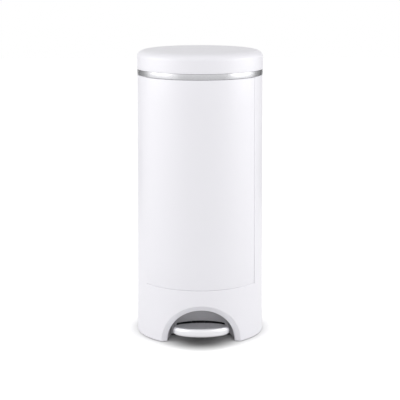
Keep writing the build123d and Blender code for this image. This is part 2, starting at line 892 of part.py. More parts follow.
def film_pack():
    """The gathered film, a ring with pleats round its top."""
    inner = cassette_inner + cassette_wall + film_inner_gap
    outer = cassette_outer - 2 * cassette_wall - film_outer_gap
    step = (outer - inner) / (2 * film_pleats)
    crest = film_low + film_height
    tops = [crest - film_pleat_depth * (i % 2) for i in range(2 * film_pleats + 1)]
    pleats = [(inner + step * i, top) for i, top in enumerate(tops)]
    return turned_polygon((inner, film_low), *pleats, (outer, film_low))


def cassette_cover():
    """Snap-on cover ring that leaves a slot for the film on the inside."""
    outer = cassette_outer - cassette_wall - seated
    inner = cassette_inner + cassette_wall + cover_lip
    top = cassette_top + seated
    return turned_polygon(
        (outer, film_low),
        (outer, top),
        (inner + cover_lip / 2, top + cover_rise),
        (inner, top),
        (inner, top - cover_thickness),
        (outer - cassette_wall, top - cover_thickness),
        (outer - cassette_wall, film_low),
    )


def flap_frame():
    """Frame under the shelf with a square throat and holes for the flaps' pins."""
    wall_x = flap_well_x + flap_frame_wall
    wall_y = flap_well_y + flap_frame_end
    frame = disc(cassette_outer, flap_frame_top - flap_frame_plate, flap_frame_top)
    frame += block((-wall_x, wall_x), (-wall_y, wall_y), (flap_frame_low, flap_frame_top))
    well_z = (flap_frame_low - beyond, flap_frame_top + beyond)
    frame -= block((-flap_well_x, flap_well_x), (-flap_well_y, flap_well_y), well_z)
    for x in (-flap_axis_x, flap_axis_x):
        frame -= rod_along_y(x, flap_axis_height, flap_pin_radius + fitted, far)
    return frame


def flap_pins():
    """Two long pins, one for each flap."""
    length = flap_length + 2 * flap_pin_reach
    pins = [
        rod_along_y(x, flap_axis_height, flap_pin_radius, length)
        for x in (-flap_axis_x, flap_axis_x)
    ]
    return Compound(children=pins)


def flap(side):
    """One of the two sprung flaps that keep the smell in."""
    half = flap_length / 2
    x_range = sorted((side * flap_gap, side * flap_axis_x))
    leaf = block(x_range, (-half, half), (flap_axis_height, flap_axis_height + flap_thickness))
    near, out = flap_rib_margin, flap_axis_x - flap_rib_margin
    rib_z = (flap_axis_height - flap_rib_depth, flap_axis_height)
    for y in flap_ribs:
        rib_y = (y - flap_rib_width / 2, y + flap_rib_width / 2)
        leaf += block(sorted((side * near, side * out)), rib_y, rib_z)
    axis_x = side * flap_axis_x
    leaf += rod_along_y(axis_x, flap_axis_height, flap_barrel_radius, flap_length)
    return leaf - rod_along_y(axis_x, flap_axis_height, flap_pin_radius + running, far)


def left_flap():
    """The flap on the door's hinge side."""
    return flap(-1)


def right_flap():
    """The flap on the door's free side."""
    return flap(1)


def cutter_slot_front():
    """Where the blade's slot begins in the cutter's holder."""
    return cutter_front - (cutter_depth - cutter_slot) / 2


def cutter_holder():
    """Guarded holder for the blade that cuts the liner."""
    x_range = (-cutter_half_width, cutter_half_width)
    y_range = (cutter_front - cutter_depth, cutter_front)
    body = block(x_range, y_range, (cutter_top - cutter_height, cutter_top))
    slot_x = (cutter_side - cutter_half_width, cutter_half_width - cutter_side)
    slot_y = (cutter_slot_front() - cutter_slot, cutter_slot_front())
    slot_z = (cutter_top - cutter_height - beyond, cutter_top - cutter_cover)
    return body - block(slot_x, slot_y, slot_z)


def cutter_blade():
    """Thin steel blade in the holder's slot."""
    half = cutter_half_width - cutter_side - seated
    top = cutter_top - cutter_cover - seated
    outline = Polyline(
        (-half, top), (half, top), (half, top - blade_high_edge), (-half, top - blade_low_edge),
        close=True,
    )
    back = cutter_slot_front() - (cutter_slot - blade_thickness) / 2
    blade = Pos(0, back, 0) * (Plane.XZ * make_face(outline))
    return extrude(blade, blade_thickness, dir=(0, -1, 0))


# ---------------------------------------------------------------- lid


def lid_form(inset):
    """The lid's outer form, moved inwards by a distance."""
    side = lid_radius - inset
    top = lid_top - inset
    shoulder = lid_shoulder - inset / 2
    bend = shoulder * (1 - cos(radians(45)))
    low = lid_bottom - min(inset, beyond)
    rim = (side - shoulder, top)
    crown = top + lid_crown
    return turned(
        Line((0, low), (side, low)),
        Line((side, low), (side, top - shoulder)),
        ThreePointArc((side, top - shoulder), (side - bend, top - bend), rim),
        Bezier(rim, (rim[0] / 2, crown), (0, crown)),
        Line((0, crown), (0, low)),
    )


def lid_knuckle(side):
    """Hinge knuckle and the web that joins it to the lid's side."""
    low_x, high_x = sorted((side * knuckle_inner, side * knuckle_outer))
    front = lid_radius - lid_wall - knuckle_web_root
    web = side_profile(
        low_x,
        high_x,
        (front, lid_bottom),
        (hinge_y, lid_bottom),
        (hinge_y + knuckle_radius - knuckle_web_inset, hinge_height + knuckle_web_rise),
        (lid_radius + knuckle_web_head, lid_bottom + knuckle_web_height),
        (front, lid_bottom + knuckle_web_height),
    )
    middle = (low_x + high_x) / 2
    knuckle = bar(middle, hinge_y, hinge_height, knuckle_radius, knuckle_width)
    return (web - lid_form(lid_wall / 2)) + knuckle


def lid_outer():
    """Outer lid shell with hinge knuckles and four screw bosses."""
    lid = lid_form(0) - lid_form(lid_wall)
    floor = inner_plate_top + seated
    hole_z = (floor - beyond, inner_plate_top + lid_screw_length)
    for angle in lid_boss_angles:
        spot = around(angle, lid_boss_circle)
        lid += post(*spot, boss_radius, floor, lid_top - lid_wall / 2)
        lid -= post(*spot, screw_radius + fitted, *hole_z)
    lid += lid_knuckle(-1) + lid_knuckle(1)
    lid -= bar(0, hinge_y, hinge_height, hinge_pin_radius + fitted, far)
    notch_x = (-bracket_inner, bracket_inner)
    notch_top = inner_plate_top + seated + crank_plate + lid_gap + seated
    return lid - block(notch_x, (plug_radius, far), (crank_height, notch_top))


def lid_inner():
    """Lid's underside: a plate with a plug ring that enters the throat."""
    plate = disc(inner_plate_radius, inner_plate_bottom, inner_plate_top)
    plug_low = inner_plate_bottom - plug_depth
    plate += ring(plug_radius - plug_wall, plug_radius, plug_low, inner_plate_top)
    spots = [around(angle, lid_boss_circle) for angle in lid_boss_angles]
    for spot in spots + [(0, crank_screw_y)]:
        plate -= post(*spot, screw_radius + screw_hole_ease, 0, inner_plate_top + beyond)
    return plate


def lid_seal():
    """Rubber ring that closes on the throat's rim."""
    top = inner_plate_bottom - fitted
    low = throat_top + seal_gap
    inner = throat_radius - seal_inside
    outer = throat_radius + seal_outside
    middle = (inner + outer) / 2
    return turned_polygon(
        (inner, top),
        (inner, top - seal_edge),
        (middle - seal_bead, low),
        (middle + seal_bead, low),
        (outer, top - seal_edge),
        (outer, top),
    )


def lid_screws():
    """Four screws for the lid's underside and one for the crank."""
    low = inner_plate_bottom - screw_head_height
    spots = [around(angle, lid_boss_circle) for angle in lid_boss_angles]
    screws = [screw(*spot, low, lid_screw_length) for spot in spots]
    screws.append(screw(0, crank_screw_y, low, crank_screw_length))
    return Compound(children=screws)


def crank_lid_arm():
    """Arm of the crank that lies on the lid's inner plate."""
    top = inner_plate_top + seated
    front = crank_screw_y - crank_arm_reach
    return side_profile(
        -crank_half_width,
        crank_half_width,
        (front, top),
        (hinge_y - crank_neck, top),
        (hinge_y - crank_neck, hinge_height),
        (hinge_y + knuckle_radius - crank_gap, hinge_height + crank_heel),
        (hinge_y + crank_heel, top + crank_plate),
        (front, top + crank_plate),
    )


def crank_rod_arm():
    """Arm of the crank that reaches down into the push rod's fork."""
    half = fork_gap / 2 - crank_arm_gap
    arm = side_profile(
        -half,
        half,
        (hinge_y - crank_arm_root, hinge_height + crank_arm_depth),
        (crank_y - crank_arm_slant, crank_height + crank_arm_depth),
        (crank_y + crank_arm_slant, crank_height - crank_arm_depth),
        (hinge_y + crank_heel, hinge_height - crank_arm_depth),
    )
    return arm + bar(0, crank_y, crank_height, crank_eye_radius, 2 * half)


def lid_crank():
    """Steel bell crank: one arm under the lid, the other down to the push rod."""
    crank = bar(0, hinge_y, hinge_height, knuckle_radius, 2 * crank_half_width)
    crank += crank_lid_arm() + crank_rod_arm()
    crank -= bar(0, hinge_y, hinge_height, hinge_pin_radius + fitted, far)
    crank -= bar(0, crank_y, crank_height, crank_pin_radius + fitted, far)
    return crank - post(0, crank_screw_y, screw_radius + fitted, inner_plate_top, lid_top)


def crank_pin():
    """Pin of the crank, which runs in the push rod's slotted head."""
    return bar(0, crank_y, crank_height, crank_pin_radius, rod_head_width - 2 * seated)


def lid_hinge_pin():
    """Long pin through the lid's knuckles and the collar's ears."""
    pin = bar(0, hinge_y, hinge_height, hinge_pin_radius, 2 * knuckle_outer)
    head_x = knuckle_outer + pin_head_thickness / 2
    head_radius = hinge_pin_radius + hinge_pin_head
    for x in (-head_x, head_x):
        pin += bar(x, hinge_y, hinge_height, head_radius, pin_head_thickness)
    return pin


# ---------------------------------------------------------------- pedal and rod


def pedal_pad():
    """Oval foot pad: a crowned shell with a rolled edge."""
    centre = pedal_front + pedal_half_depth
    outline = Pos(0, centre, pedal_bottom) * Ellipse(pedal_half_width, pedal_half_depth)
    pad = extrude(outline, pedal_thickness)
    pad = fillet(pad.edges().group_by(Axis.Z)[-1], pedal_edge_round)
    pad = fillet(pad.edges().group_by(Axis.Z)[0], pedal_foot_round)
    under = Ellipse(pedal_half_width - pedal_rim, pedal_half_depth - pedal_rim)
    hollow = pedal_thickness - pedal_skin + beyond
    pad -= extrude(Pos(0, centre, pedal_bottom - beyond) * under, hollow)
    slot = lever_width / 2 + pedal_slot_gap
    pad -= block((-slot, slot), (centre, recess_back), (0, pedal_top - pedal_skin))
    top = lever_top - lever_plate + pedal_screw_length + pedal_screw_spare
    for y in pedal_screw_places:
        pad -= post(0, y, screw_radius + fitted, pedal_bottom, top)
    return pad


def pedal_screws():
    """Two screws up through the lever into the pad."""
    low = lever_top - lever_plate - screw_head_height
    return Compound(children=[screw(0, y, low, pedal_screw_length) for y in pedal_screw_places])


def lever_beam():
    """Lever's side view, from under the pad over the pivot to the nose."""
    front = pedal_front + lever_front_margin
    half = lever_width / 2
    nose = lever_nose_radius / 2
    beam = side_profile(
        -half,
        half,
        (front, lever_top - lever_plate),
        (front, lever_top),
        (recess_back + lever_plate, lever_top),
        (pivot_y, pivot_height + lever_hub_radius - running),
        (rod_y, pivot_height + nose),
        (rod_y, pivot_height - nose),
        (rod_y - lever_belly, pivot_height - nose - lever_nose_radius),
        (pivot_y, pivot_height - lever_hub_radius),
        (recess_back - lever_nose_radius, lever_top - 2 * lever_plate),
    )
    beam += bar(0, rod_y, pivot_height, lever_nose_radius, lever_width)
    return beam + bar(0, pivot_y, pivot_height, lever_hub_radius, lever_width)


def pedal_lever():
    """Ribbed lever from the pad, over its pivot, to the nose under the rod."""
    inside = lever_width / 2 - lever_wall
    hub = lever_hub_radius + lever_nose_radius
    middle = (pivot_y + rod_y) / 2
    pocket = side_profile(
        -inside,
        inside,
        (pivot_y + hub, 0),
        (pivot_y + hub, pivot_height + lever_plate),
        (rod_y - hub, pivot_height),
        (rod_y - hub, 0),
    )
    rib_y = (middle - lever_rib / 2, middle + lever_rib / 2)
    pocket -= block((-lever_width, lever_width), rib_y, (0, sky))
    beam = lever_beam() - pocket
    for y in pedal_screw_places:
        head_hole = screw_head_radius + screw_hole_ease
        beam -= post(0, y, screw_radius + screw_hole_ease, 0, pedal_top)
        beam -= post(0, y, head_hole, 0, lever_top - lever_plate)
    return beam - bar(0, pivot_y, pivot_height, pivot_pin_radius + running, far)


def rod_head():
    """Forked head with a slot across it for the crank's pin."""
    half_width = rod_head_width / 2
    y_range = (rod_y - rod_head_depth / 2, rod_y + rod_head_depth / 2)
    low = crank_height - rod_head_below
    high = crank_height + rod_head_above
    head = block((-half_width, half_width), y_range, (low, high))
    fork = (-fork_gap / 2, fork_gap / 2)
    head -= block(fork, (0, far), (low + rod_head_floor, high + beyond))
    slot_y = hinge_y - (sweep_far + sweep_near) / 2
    outline = Plane.YZ * SlotOverall(slot_length, 2 * slot_radius)
    slot = extrude(Pos(-rod_head_width, slot_y, crank_height) * outline, 2 * rod_head_width)
    return head - slot


def push_rod():
    """Upright rod with a round foot and a forked, slotted head."""
    foot_top = rod_foot_low + rod_foot_thickness
    rod = post(0, rod_y, rod_foot_radius, rod_foot_low, foot_top)
    rod += post(0, rod_y, rod_radius, foot_top, crank_height - rod_head_below + rod_head_floor / 2)
    return rod + rod_head()


def return_spring():
    """Coil spring between the rod's foot and the ledge above it."""
    margin = spring_wire + spring_end_gap
    low = rod_foot_low + rod_foot_thickness + margin
    high = sill_height - ledge_thickness - margin
    pitch = (high - low) / spring_turns
    coil = Helix(pitch, high - low, spring_radius, center=(0, rod_y, low))
    section = Plane(coil @ 0, z_dir=coil % 0) * Circle(spring_wire)
    return sweep(section, coil)


def rod_guides():
    """Three guides on the rear wall that keep the rod upright."""
    bore = post(0, rod_y, rod_radius + running, 0, rim_height)
    lowest = sill_height + guide_low_margin
    highest = throat_bottom - guide_high_margin
    guides = []
    for low in (lowest, (lowest + highest) / 2, highest):
        guide = block(
            (-guide_half_width, guide_half_width),
            (rod_y - guide_depth, far),
            (low, low + guide_height),
        )
        guides.append((guide & body_form(wall + seated)) - bore)
    return Compound(children=guides)


def rod_duct():
    """Channel on the rear wall that keeps the bag off the rod."""
    height = (sill_height + seated, throat_bottom - duct_top_margin)
    inside = duct_half_width - duct_wall
    front = rod_y - duct_depth
    channel = block((-duct_half_width, duct_half_width), (front, far), height)
    channel -= block((-inside, inside), (front + duct_wall, far), height)
    feet = block(
        (-inside - duct_foot_width, inside + duct_foot_width),
        (rod_y - duct_foot_depth, far),
        height,
    )
    feet -= block((-inside, inside), (0, far), height)
    feet -= body_form(wall + seated + duct_foot_thickness)
    return (channel + feet) & body_form(wall + seated)


pieces = [
    body_casing,
    pedal_recess,
    base_plate,
    base_screws,
    rubber_feet,
    pivot_pin,
    chamber_floor,
    catch_magnets,
    front_door,
    door_liner,
    keeper_plates,
    door_hinge_pins,
    top_collar,
    collar_screws,
    trim_ring,
    hinge_brackets,
    bracket_screws,
    liner_cassette,
    film_pack,
    cassette_cover,
    flap_frame,
    flap_pins,
    left_flap,
    right_flap,
    cutter_holder,
    cutter_blade,
    lid_outer,
    lid_inner,
    lid_seal,
    lid_screws,
    lid_crank,
    crank_pin,
    lid_hinge_pin,
    pedal_pad,
    pedal_screws,
    pedal_lever,
    push_rod,
    return_spring,
    rod_guides,
    rod_duct,
]

for make in pieces:
    save(make.__name__, make())

lever_angle = degrees(asin(rod_travel / (rod_y - pivot_y)))
print("rod travel", round(rod_travel, 3), "lever angle", round(lever_angle, 3))
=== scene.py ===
import json
import math

import bmesh
import bpy
import numpy as np
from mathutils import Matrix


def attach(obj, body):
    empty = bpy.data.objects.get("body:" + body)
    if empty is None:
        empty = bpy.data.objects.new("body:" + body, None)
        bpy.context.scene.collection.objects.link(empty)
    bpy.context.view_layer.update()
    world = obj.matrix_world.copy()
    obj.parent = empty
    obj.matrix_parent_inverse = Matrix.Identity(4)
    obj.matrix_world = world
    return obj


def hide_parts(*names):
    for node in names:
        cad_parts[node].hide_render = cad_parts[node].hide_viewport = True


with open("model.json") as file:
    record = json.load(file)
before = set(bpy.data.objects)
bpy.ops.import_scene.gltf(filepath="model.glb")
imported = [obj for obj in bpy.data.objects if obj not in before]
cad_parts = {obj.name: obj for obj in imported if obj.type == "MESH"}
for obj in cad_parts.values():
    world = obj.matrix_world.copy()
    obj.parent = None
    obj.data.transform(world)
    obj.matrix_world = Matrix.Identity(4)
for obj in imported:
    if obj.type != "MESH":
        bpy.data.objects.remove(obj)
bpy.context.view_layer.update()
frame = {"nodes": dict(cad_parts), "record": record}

# ---------------------------------------------------------------- casing
# The casing is one glossy white ABS moulding: a round base with a bevelled pedal arch and
# a wall that stands open at the front for the door. It is injection moulded, polished
# outside, and everything else is screwed or clipped to it.

RIM_RADIUS = 0.1206
SILL_RADIUS = 0.1232
FOOT_RADIUS = 0.12493
RIM_HEIGHT = 0.508
SILL_HEIGHT = 0.1085
FOOT_HEIGHT = 0.0015
WALL = 0.0026
RIM_ROUND = 0.0004
SILL_ROUND = 0.0017
FOOT_ROUND = 0.0008
LEDGE_TOP = 0.107
LEDGE_UNDER = 0.104
LEDGE_WIDTH = 0.028
LEDGE_ROUND = 0.0005
ROD_NOTCH = 0.0228
ROD_NOTCH_TURN = 2.4
PATCH_SIZE = 0.070


def lofted(name, loops, around=True, crease=32):
    """Mesh through closed loops of points: loops[i, j] is point j of loop i. Quads join
    each loop to the next. With around, the last loop joins the first, and otherwise the
    two end loops are closed by flat caps. Points that meet at a pole are welded."""
    rows, count = loops.shape[:2]
    index = np.arange(rows * count).reshape(rows, count)
    last = rows if around else rows - 1
    here = index[:last]
    there = np.roll(index, -1, axis=0)[:last]
    quads = np.stack(
        [here, np.roll(here, -1, axis=1), np.roll(there, -1, axis=1), there], axis=-1
    )
    faces = quads.reshape(-1, 4).tolist()
    if not around:
        faces += [index[0].tolist(), index[-1].tolist()]
    mesh = bpy.data.meshes.new(name)
    mesh.from_pydata(loops.reshape(-1, 3).tolist(), [], faces)
    form = bmesh.new()
    form.from_mesh(mesh)
    bmesh.ops.remove_doubles(form, verts=form.verts, dist=1e-6)
    bmesh.ops.dissolve_degenerate(form, edges=form.edges, dist=1e-7)
    bmesh.ops.recalc_face_normals(form, faces=form.faces)
    form.to_mesh(mesh)
    form.free()
    mesh.shade_smooth()
    mesh.set_sharp_from_angle(angle=math.radians(crease))
    piece = bpy.data.objects.new(name, mesh)
    bpy.context.collection.objects.link(piece)
    return piece


def plan(radius, angle, height):
    """Points at a radius, an angle in degrees from the front, and a height."""
    turn = np.radians(angle)
    radius, turn, height = np.broadcast_arrays(radius, turn, height)
    return np.stack([radius * np.sin(turn), -radius * np.cos(turn), height], axis=-1)


def casing_radius(height):
    """Outer radius at a height: a straight taper above the sill, and below it a slight
    flare that starts along the taper."""
    slope = (SILL_RADIUS - RIM_RADIUS) / (RIM_HEIGHT - SILL_HEIGHT)
    drop = np.maximum(SILL_HEIGHT - height, 0) / (SILL_HEIGHT - FOOT_HEIGHT)
    flare = FOOT_RADIUS - SILL_RADIUS - slope * (SILL_HEIGHT - FOOT_HEIGHT)
    return RIM_RADIUS + slope * (RIM_HEIGHT - height) + flare * drop**2


def linear(colour):
    """A colour written as an sRGB hex value, as linear RGBA."""
    parts = [int(colour[i : i + 2], 16) / 255 for i in (0, 2, 4)]
    return [c / 12.92 if c <= 0.04045 else ((c + 0.055) / 1.055) ** 2.4 for c in parts] + [1.0]


def add(tree, kind, settings=None, **inputs):
    """One node of a kind, with its plain settings and its input values or links."""
    made = tree.nodes.new(kind)
    for key, value in (settings or {}).items():
        setattr(made, key, value)
    for key, value in inputs.items():
        socket = made.inputs[key.replace("_", " ")]
        if isinstance(value, bpy.types.NodeSocket):
            tree.links.new(value, socket)
        else:
            socket.default_value = value
    return made


def finish(name, colour, rough, grain, relief, vary=0.02, stretch=(1, 1, 1), metal=0.0):
    """A surface finish. Its colour drifts faintly over hand-sized patches, its roughness
    drifts with them and with a grain, and the grain also raises a fine bump. Grain and
    relief are sizes in millimetres, and stretch squeezes the grain along each axis. The
    real grains are finer than a pixel, so they are drawn as coarse as they need to show."""
    material = bpy.data.materials.new(name)
    material.use_nodes = True
    tree = material.node_tree
    surface = tree.nodes["Principled BSDF"]
    place = add(tree, "ShaderNodeTexCoord").outputs["Object"]
    drift = add(
        tree, "ShaderNodeTexNoise", Vector=place, Scale=1 / PATCH_SIZE, Detail=3.0
    ).outputs["Fac"]
    tint = add(tree, "ShaderNodeMapRange", Value=drift, To_Min=1 - vary, To_Max=1.0).outputs[0]
    shade = add(tree, "ShaderNodeVectorMath", {"operation": "SCALE"}, Scale=tint)
    shade.inputs[0].default_value = linear(colour)[:3]
    tree.links.new(shade.outputs[0], surface.inputs["Base Color"])
    squeezed = add(tree, "ShaderNodeVectorMath", {"operation": "MULTIPLY"})
    tree.links.new(place, squeezed.inputs[0])
    squeezed.inputs[1].default_value = stretch
    fine = add(
        tree, "ShaderNodeTexNoise", Vector=squeezed.outputs[0], Scale=1000 / grain, Detail=4.0
    ).outputs["Fac"]
    handled = add(
        tree, "ShaderNodeMapRange", Value=drift, To_Min=rough * 0.86, To_Max=rough * 1.04
    ).outputs[0]
    ground = add(
        tree, "ShaderNodeMapRange", Value=fine, To_Min=0.0, To_Max=rough * 0.10
    ).outputs[0]
    both = add(tree, "ShaderNodeMath", {"operation": "ADD"})
    tree.links.new(handled, both.inputs[0])
    tree.links.new(ground, both.inputs[1])
    tree.links.new(both.outputs[0], surface.inputs["Roughness"])
    raised = add(
        tree, "ShaderNodeBump", Height=fine, Distance=relief / 1000, Strength=0.5
    ).outputs[0]
    tree.links.new(raised, surface.inputs["Normal"])
    surface.inputs["Metallic"].default_value = metal
    return material


def coat(piece, slot):
    """Put the finish of a slot on a piece."""
    piece.data.materials.clear()
    piece.data.materials.append(finishes[slot])


def coat_nodes(slot):
    """Put one finish on every CAD node that the record gives that slot."""
    for part in frame["record"]["subparts"]:
        if part["material_slot"] == slot:
            coat(frame["nodes"][part["node"]], slot)


def finish_piece(piece, body, slot, *replaced):
    """Tie a finished piece to its body, its finish and the CAD nodes it stands for."""
    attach(piece, body)
    coat(piece, slot)
    if replaced:
        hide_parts(*replaced)


# ABS plastic, injection moulded in a polished steel mould. It gives a clean white with
# soft, unbroken highlights.
finishes = {}
finishes["white_shell"] = finish(
    "Glossy_white_ABS", "EDECF1", rough=0.33, grain=1.1, relief=0.004, vary=0.01
)
coat_nodes("white_shell")

ARCH_INNER = 0.065
ARCH_OUTER = 0.0765
ARCH_ROUND = 0.0012
ARCH_LIP = 0.0018
ARCH_LIP_DEPTH = 0.0007
BEVEL_FROM = 0.0018
BEVEL_TO = 0.0013
SURROUND_WIDTH = 0.004
SURROUND_BACK = 0.0139
LEFT_JAMB = -57.77
RIGHT_JAMB = 57.73
EDGE_TURN = 0.33
EDGE_ROUND = 0.0009
EDGE_SKEW = -0.9


def casing_columns():
    """Azimuths round the casing, with what changes from one column to the next: the
    arch's own angle, whether the wall stands there, how far its edge is rounded back, and
    how much further round the inner edge lies."""
    arch_turn = np.linspace(-90, 90, 121)
    arch = np.degrees(np.arcsin(ARCH_OUTER * np.sin(np.radians(arch_turn)) / FOOT_RADIUS))
    limit = arch[-1]
    right = np.linspace(limit, RIGHT_JAMB, 26)[1:]
    left = np.linspace(LEFT_JAMB, -limit, 26)[:-1]
    edge_turn = np.radians([0.0, 22.5, 45.0, 67.5, 90.0])
    edge = EDGE_TURN * (1 - np.cos(edge_turn))
    back = EDGE_ROUND * (1 - np.sin(edge_turn))
    wall = np.linspace(RIGHT_JAMB + EDGE_TURN, 360 + LEFT_JAMB - EDGE_TURN, 161)[1:-1]
    angle = np.concatenate(
        [arch, right, RIGHT_JAMB + edge, wall, 360 + LEFT_JAMB - edge[::-1], 360 + left]
    )
    turn = np.concatenate([arch_turn, np.full(len(angle) - len(arch), np.nan)])
    start = len(arch) + len(right)
    stop = len(angle) - len(left)
    stands = np.zeros(len(angle), bool)
    stands[start:stop] = True
    inset = np.zeros(len(angle))
    inset[start : start + len(edge)] = back
    skew = np.zeros(len(angle))
    skew[stop - len(edge) : stop] = EDGE_SKEW
    return angle, turn, stands, inset, skew


def casing_loops():
    """Closed vertical sections, one for each azimuth: up the outer face to the rim or the
    sill, back down the inner face, round the ledge under the chamber, and out again
    under the foot, or through the arch's bevel and tunnel where the section crosses it."""
    angle, turn, stands, inset, skew = casing_columns()
    crossed = ~np.isnan(turn)[:, None]
    psi = np.radians(np.where(crossed, turn[:, None], 90.0))
    theta = angle[:, None]
    door = ~stands[:, None]
    over_arch = FOOT_HEIGHT + (ARCH_OUTER + ARCH_ROUND) * np.cos(psi)
    low_edge = np.where(crossed, over_arch, FOOT_HEIGHT + FOOT_ROUND)
    low_edge = np.maximum(low_edge, FOOT_HEIGHT + FOOT_ROUND)
    wall_foot = SILL_HEIGHT - SILL_ROUND
    share = np.linspace(0, 1, 25)[None, :] ** 1.2
    skirt = low_edge + (wall_foot - low_edge) * share
    rows = [plan(casing_radius(skirt), theta, skirt)]
    rise = np.linspace(0, 1, 5)[None, :]
    tall = wall_foot + (RIM_HEIGHT - RIM_ROUND - wall_foot) * rise
    low_round = np.radians(np.linspace(0, 90, 5))[None, :]
    sill_radius = casing_radius(SILL_HEIGHT) - SILL_ROUND * (1 - np.cos(low_round))
    sill_height = SILL_HEIGHT - SILL_ROUND * (1 - np.sin(low_round))
    wall_radius = casing_radius(tall) - inset[:, None]
    rows.append(
        plan(
            np.where(door, sill_radius, wall_radius),
            theta,
            np.where(door, sill_height, tall),
        )
    )
    inner_angle = theta + skew[:, None]
    down = np.linspace(0, 1, 4)[None, :]
    inner_height = RIM_HEIGHT + (SILL_HEIGHT - RIM_HEIGHT) * down
    inner_radius = casing_radius(inner_height) - WALL
    rows.append(
        plan(
            np.where(door, casing_radius(SILL_HEIGHT) - WALL * (0.7 + 0.3 * down), inner_radius),
            inner_angle,
            np.where(door, SILL_HEIGHT, inner_height),
        )
    )
    near_rod = np.exp(-(((angle - 180) / ROD_NOTCH_TURN) ** 8))[:, None]
    ledge_radius = casing_radius(SILL_HEIGHT) - WALL - LEDGE_WIDTH + ROD_NOTCH * near_rod
    under_radius = casing_radius(LEDGE_UNDER) - WALL
    steps = np.array([[0, 0.5, 1, 1, 0.5, 0]])
    ledge_height = np.array([[LEDGE_TOP] * 3 + [LEDGE_UNDER] * 3])
    rows.append(
        plan(under_radius + (ledge_radius - under_radius) * steps, theta, ledge_height)
    )
    fall = np.linspace(0, 1, 6)[None, :]
    over_surround = FOOT_HEIGHT + (ARCH_OUTER + SURROUND_WIDTH) * np.cos(psi)
    inner_low = np.where(crossed, over_surround, FOOT_HEIGHT)
    inner_high = LEDGE_UNDER - LEDGE_ROUND
    inner_skirt = inner_high + (inner_low - inner_high) * fall
    rows.append(plan(casing_radius(inner_skirt) - WALL, theta, inner_skirt))
    rows.append(arch_rows(psi, crossed, theta))
    return np.concatenate(rows, axis=1)


def arch_rows(psi, crossed, theta):
    """Rest of each section below the skirt. In the arch it runs down the back of the
    thick surround, forward through the tunnel, round a small corner and out along the
    bevel to the rounded lip, each at its own radius from the arch's centre and depth
    behind the face. The bevel is as deep as it is short of the arch's outer radius.
    Elsewhere the section crosses under the foot, and its last fifth lifts as a square."""
    behind = [ARCH_OUTER + SURROUND_WIDTH, 0.074, ARCH_INNER + 0.0015, ARCH_INNER, ARCH_INNER]
    behind_depth = [SURROUND_BACK, SURROUND_BACK, SURROUND_BACK, 0.0137, 0.0131]
    corner = ARCH_INNER + np.array([0, 0.00008, 0.0003, 0.0008])
    corner_depth = [0.0124, 0.0118, 0.0113, 0.0107]
    bevel = np.linspace(ARCH_INNER + BEVEL_FROM, ARCH_OUTER - BEVEL_TO, 7)
    bend = np.radians(np.linspace(90, 0, 6))
    lip = ARCH_OUTER + ARCH_ROUND - ARCH_LIP * np.sin(bend)
    lip_depth = ARCH_LIP_DEPTH * (1 - np.cos(bend)) ** 1.5
    radius = np.concatenate([behind, corner, bevel, lip])[None, :]
    depth = np.concatenate([behind_depth, corner_depth, ARCH_OUTER - bevel, lip_depth])[None, :]
    x = radius * np.sin(psi)
    z = FOOT_HEIGHT + radius * np.cos(psi)
    skin = casing_radius(z)
    y = -np.sqrt(skin**2 - x**2) + depth
    through = np.stack(np.broadcast_arrays(x, y, z), axis=-1)
    share = np.linspace(0, 1, radius.shape[1])[None, :]
    lift = FOOT_ROUND * np.clip((share - 0.8) / 0.2, 0, 1) ** 2
    under = plan(FOOT_RADIUS - WALL * (1 - share), theta, FOOT_HEIGHT + lift)
    return np.where(crossed[..., None], through, under)


casing = lofted("Casing_shell", casing_loops(), crease=38)
finish_piece(casing, "bin", "white_shell", "body_casing")

JAMB_SUNK = 0.0005
JAMB_IN_WALL = 0.0015
JAMB_TURN = 1.1
LATCH_LIP = {"root": 59.2, "tip": 53.5, "inner": 0.107, "outer": 0.1101, "top": RIM_HEIGHT}
HINGE_LIP = {"root": -60.43, "tip": -50.33, "inner": 0.1005, "outer": 0.1027, "top": 0.469}


def jamb_loops(root, tip, inner, outer, top):
    """Level L-shaped outlines from the sill up to a height: a thin return from the wall
    inwards at one angle, and a stop lip that runs round from it to another angle."""
    height = np.linspace(SILL_HEIGHT - JAMB_SUNK, top, 9)[:, None]
    far_side = root - math.copysign(JAMB_TURN, root)
    front = np.linspace(root, tip, 9)
    back = np.linspace(tip, far_side, 9)[1:]
    angle = np.concatenate([[root], front, back, [far_side, far_side]])
    wall = casing_radius(height) - JAMB_IN_WALL
    radius = np.concatenate([wall, np.full((9, 9), inner), np.full((9, 9), outer), wall], axis=1)
    return plan(radius, angle, height)


for name, lip in (("Casing_latch_jamb", LATCH_LIP), ("Casing_hinge_jamb", HINGE_LIP)):
    jamb = lofted(name, jamb_loops(**lip), around=False)
    finish_piece(jamb, "bin", "white_shell")

BOSS_RADIUS = 0.0045
BOSS_CIRCLE = 0.1141
BOSS_LENGTH = 0.016
BOSS_ROUND = 0.001


def boss_loops(x, y, radius, low, high):
    """Level circles up a screw boss, drawn in at its rounded lower end."""
    turn = np.linspace(0, 2 * np.pi, 32, endpoint=False)
    bend = np.radians(np.linspace(0, 90, 5))
    reach = np.concatenate([radius - BOSS_ROUND * (1 - np.sin(bend)), [radius]])[:, None]
    height = np.concatenate([low + BOSS_ROUND * (1 - np.cos(bend)), [high]])[:, None]
    circle = [x + reach * np.cos(turn), y + reach * np.sin(turn), height]
    return np.stack(np.broadcast_arrays(*circle), axis=-1)


for boss_angle in (-130, -80, 80, 130):
    boss_x, boss_y, boss_top = plan(BOSS_CIRCLE, boss_angle, RIM_HEIGHT).tolist()
    circles = boss_loops(boss_x, boss_y, BOSS_RADIUS, boss_top - BOSS_LENGTH, boss_top)
    boss = lofted(f"Casing_boss_{boss_angle % 360}", circles, around=False)
    finish_piece(boss, "bin", "white_shell")

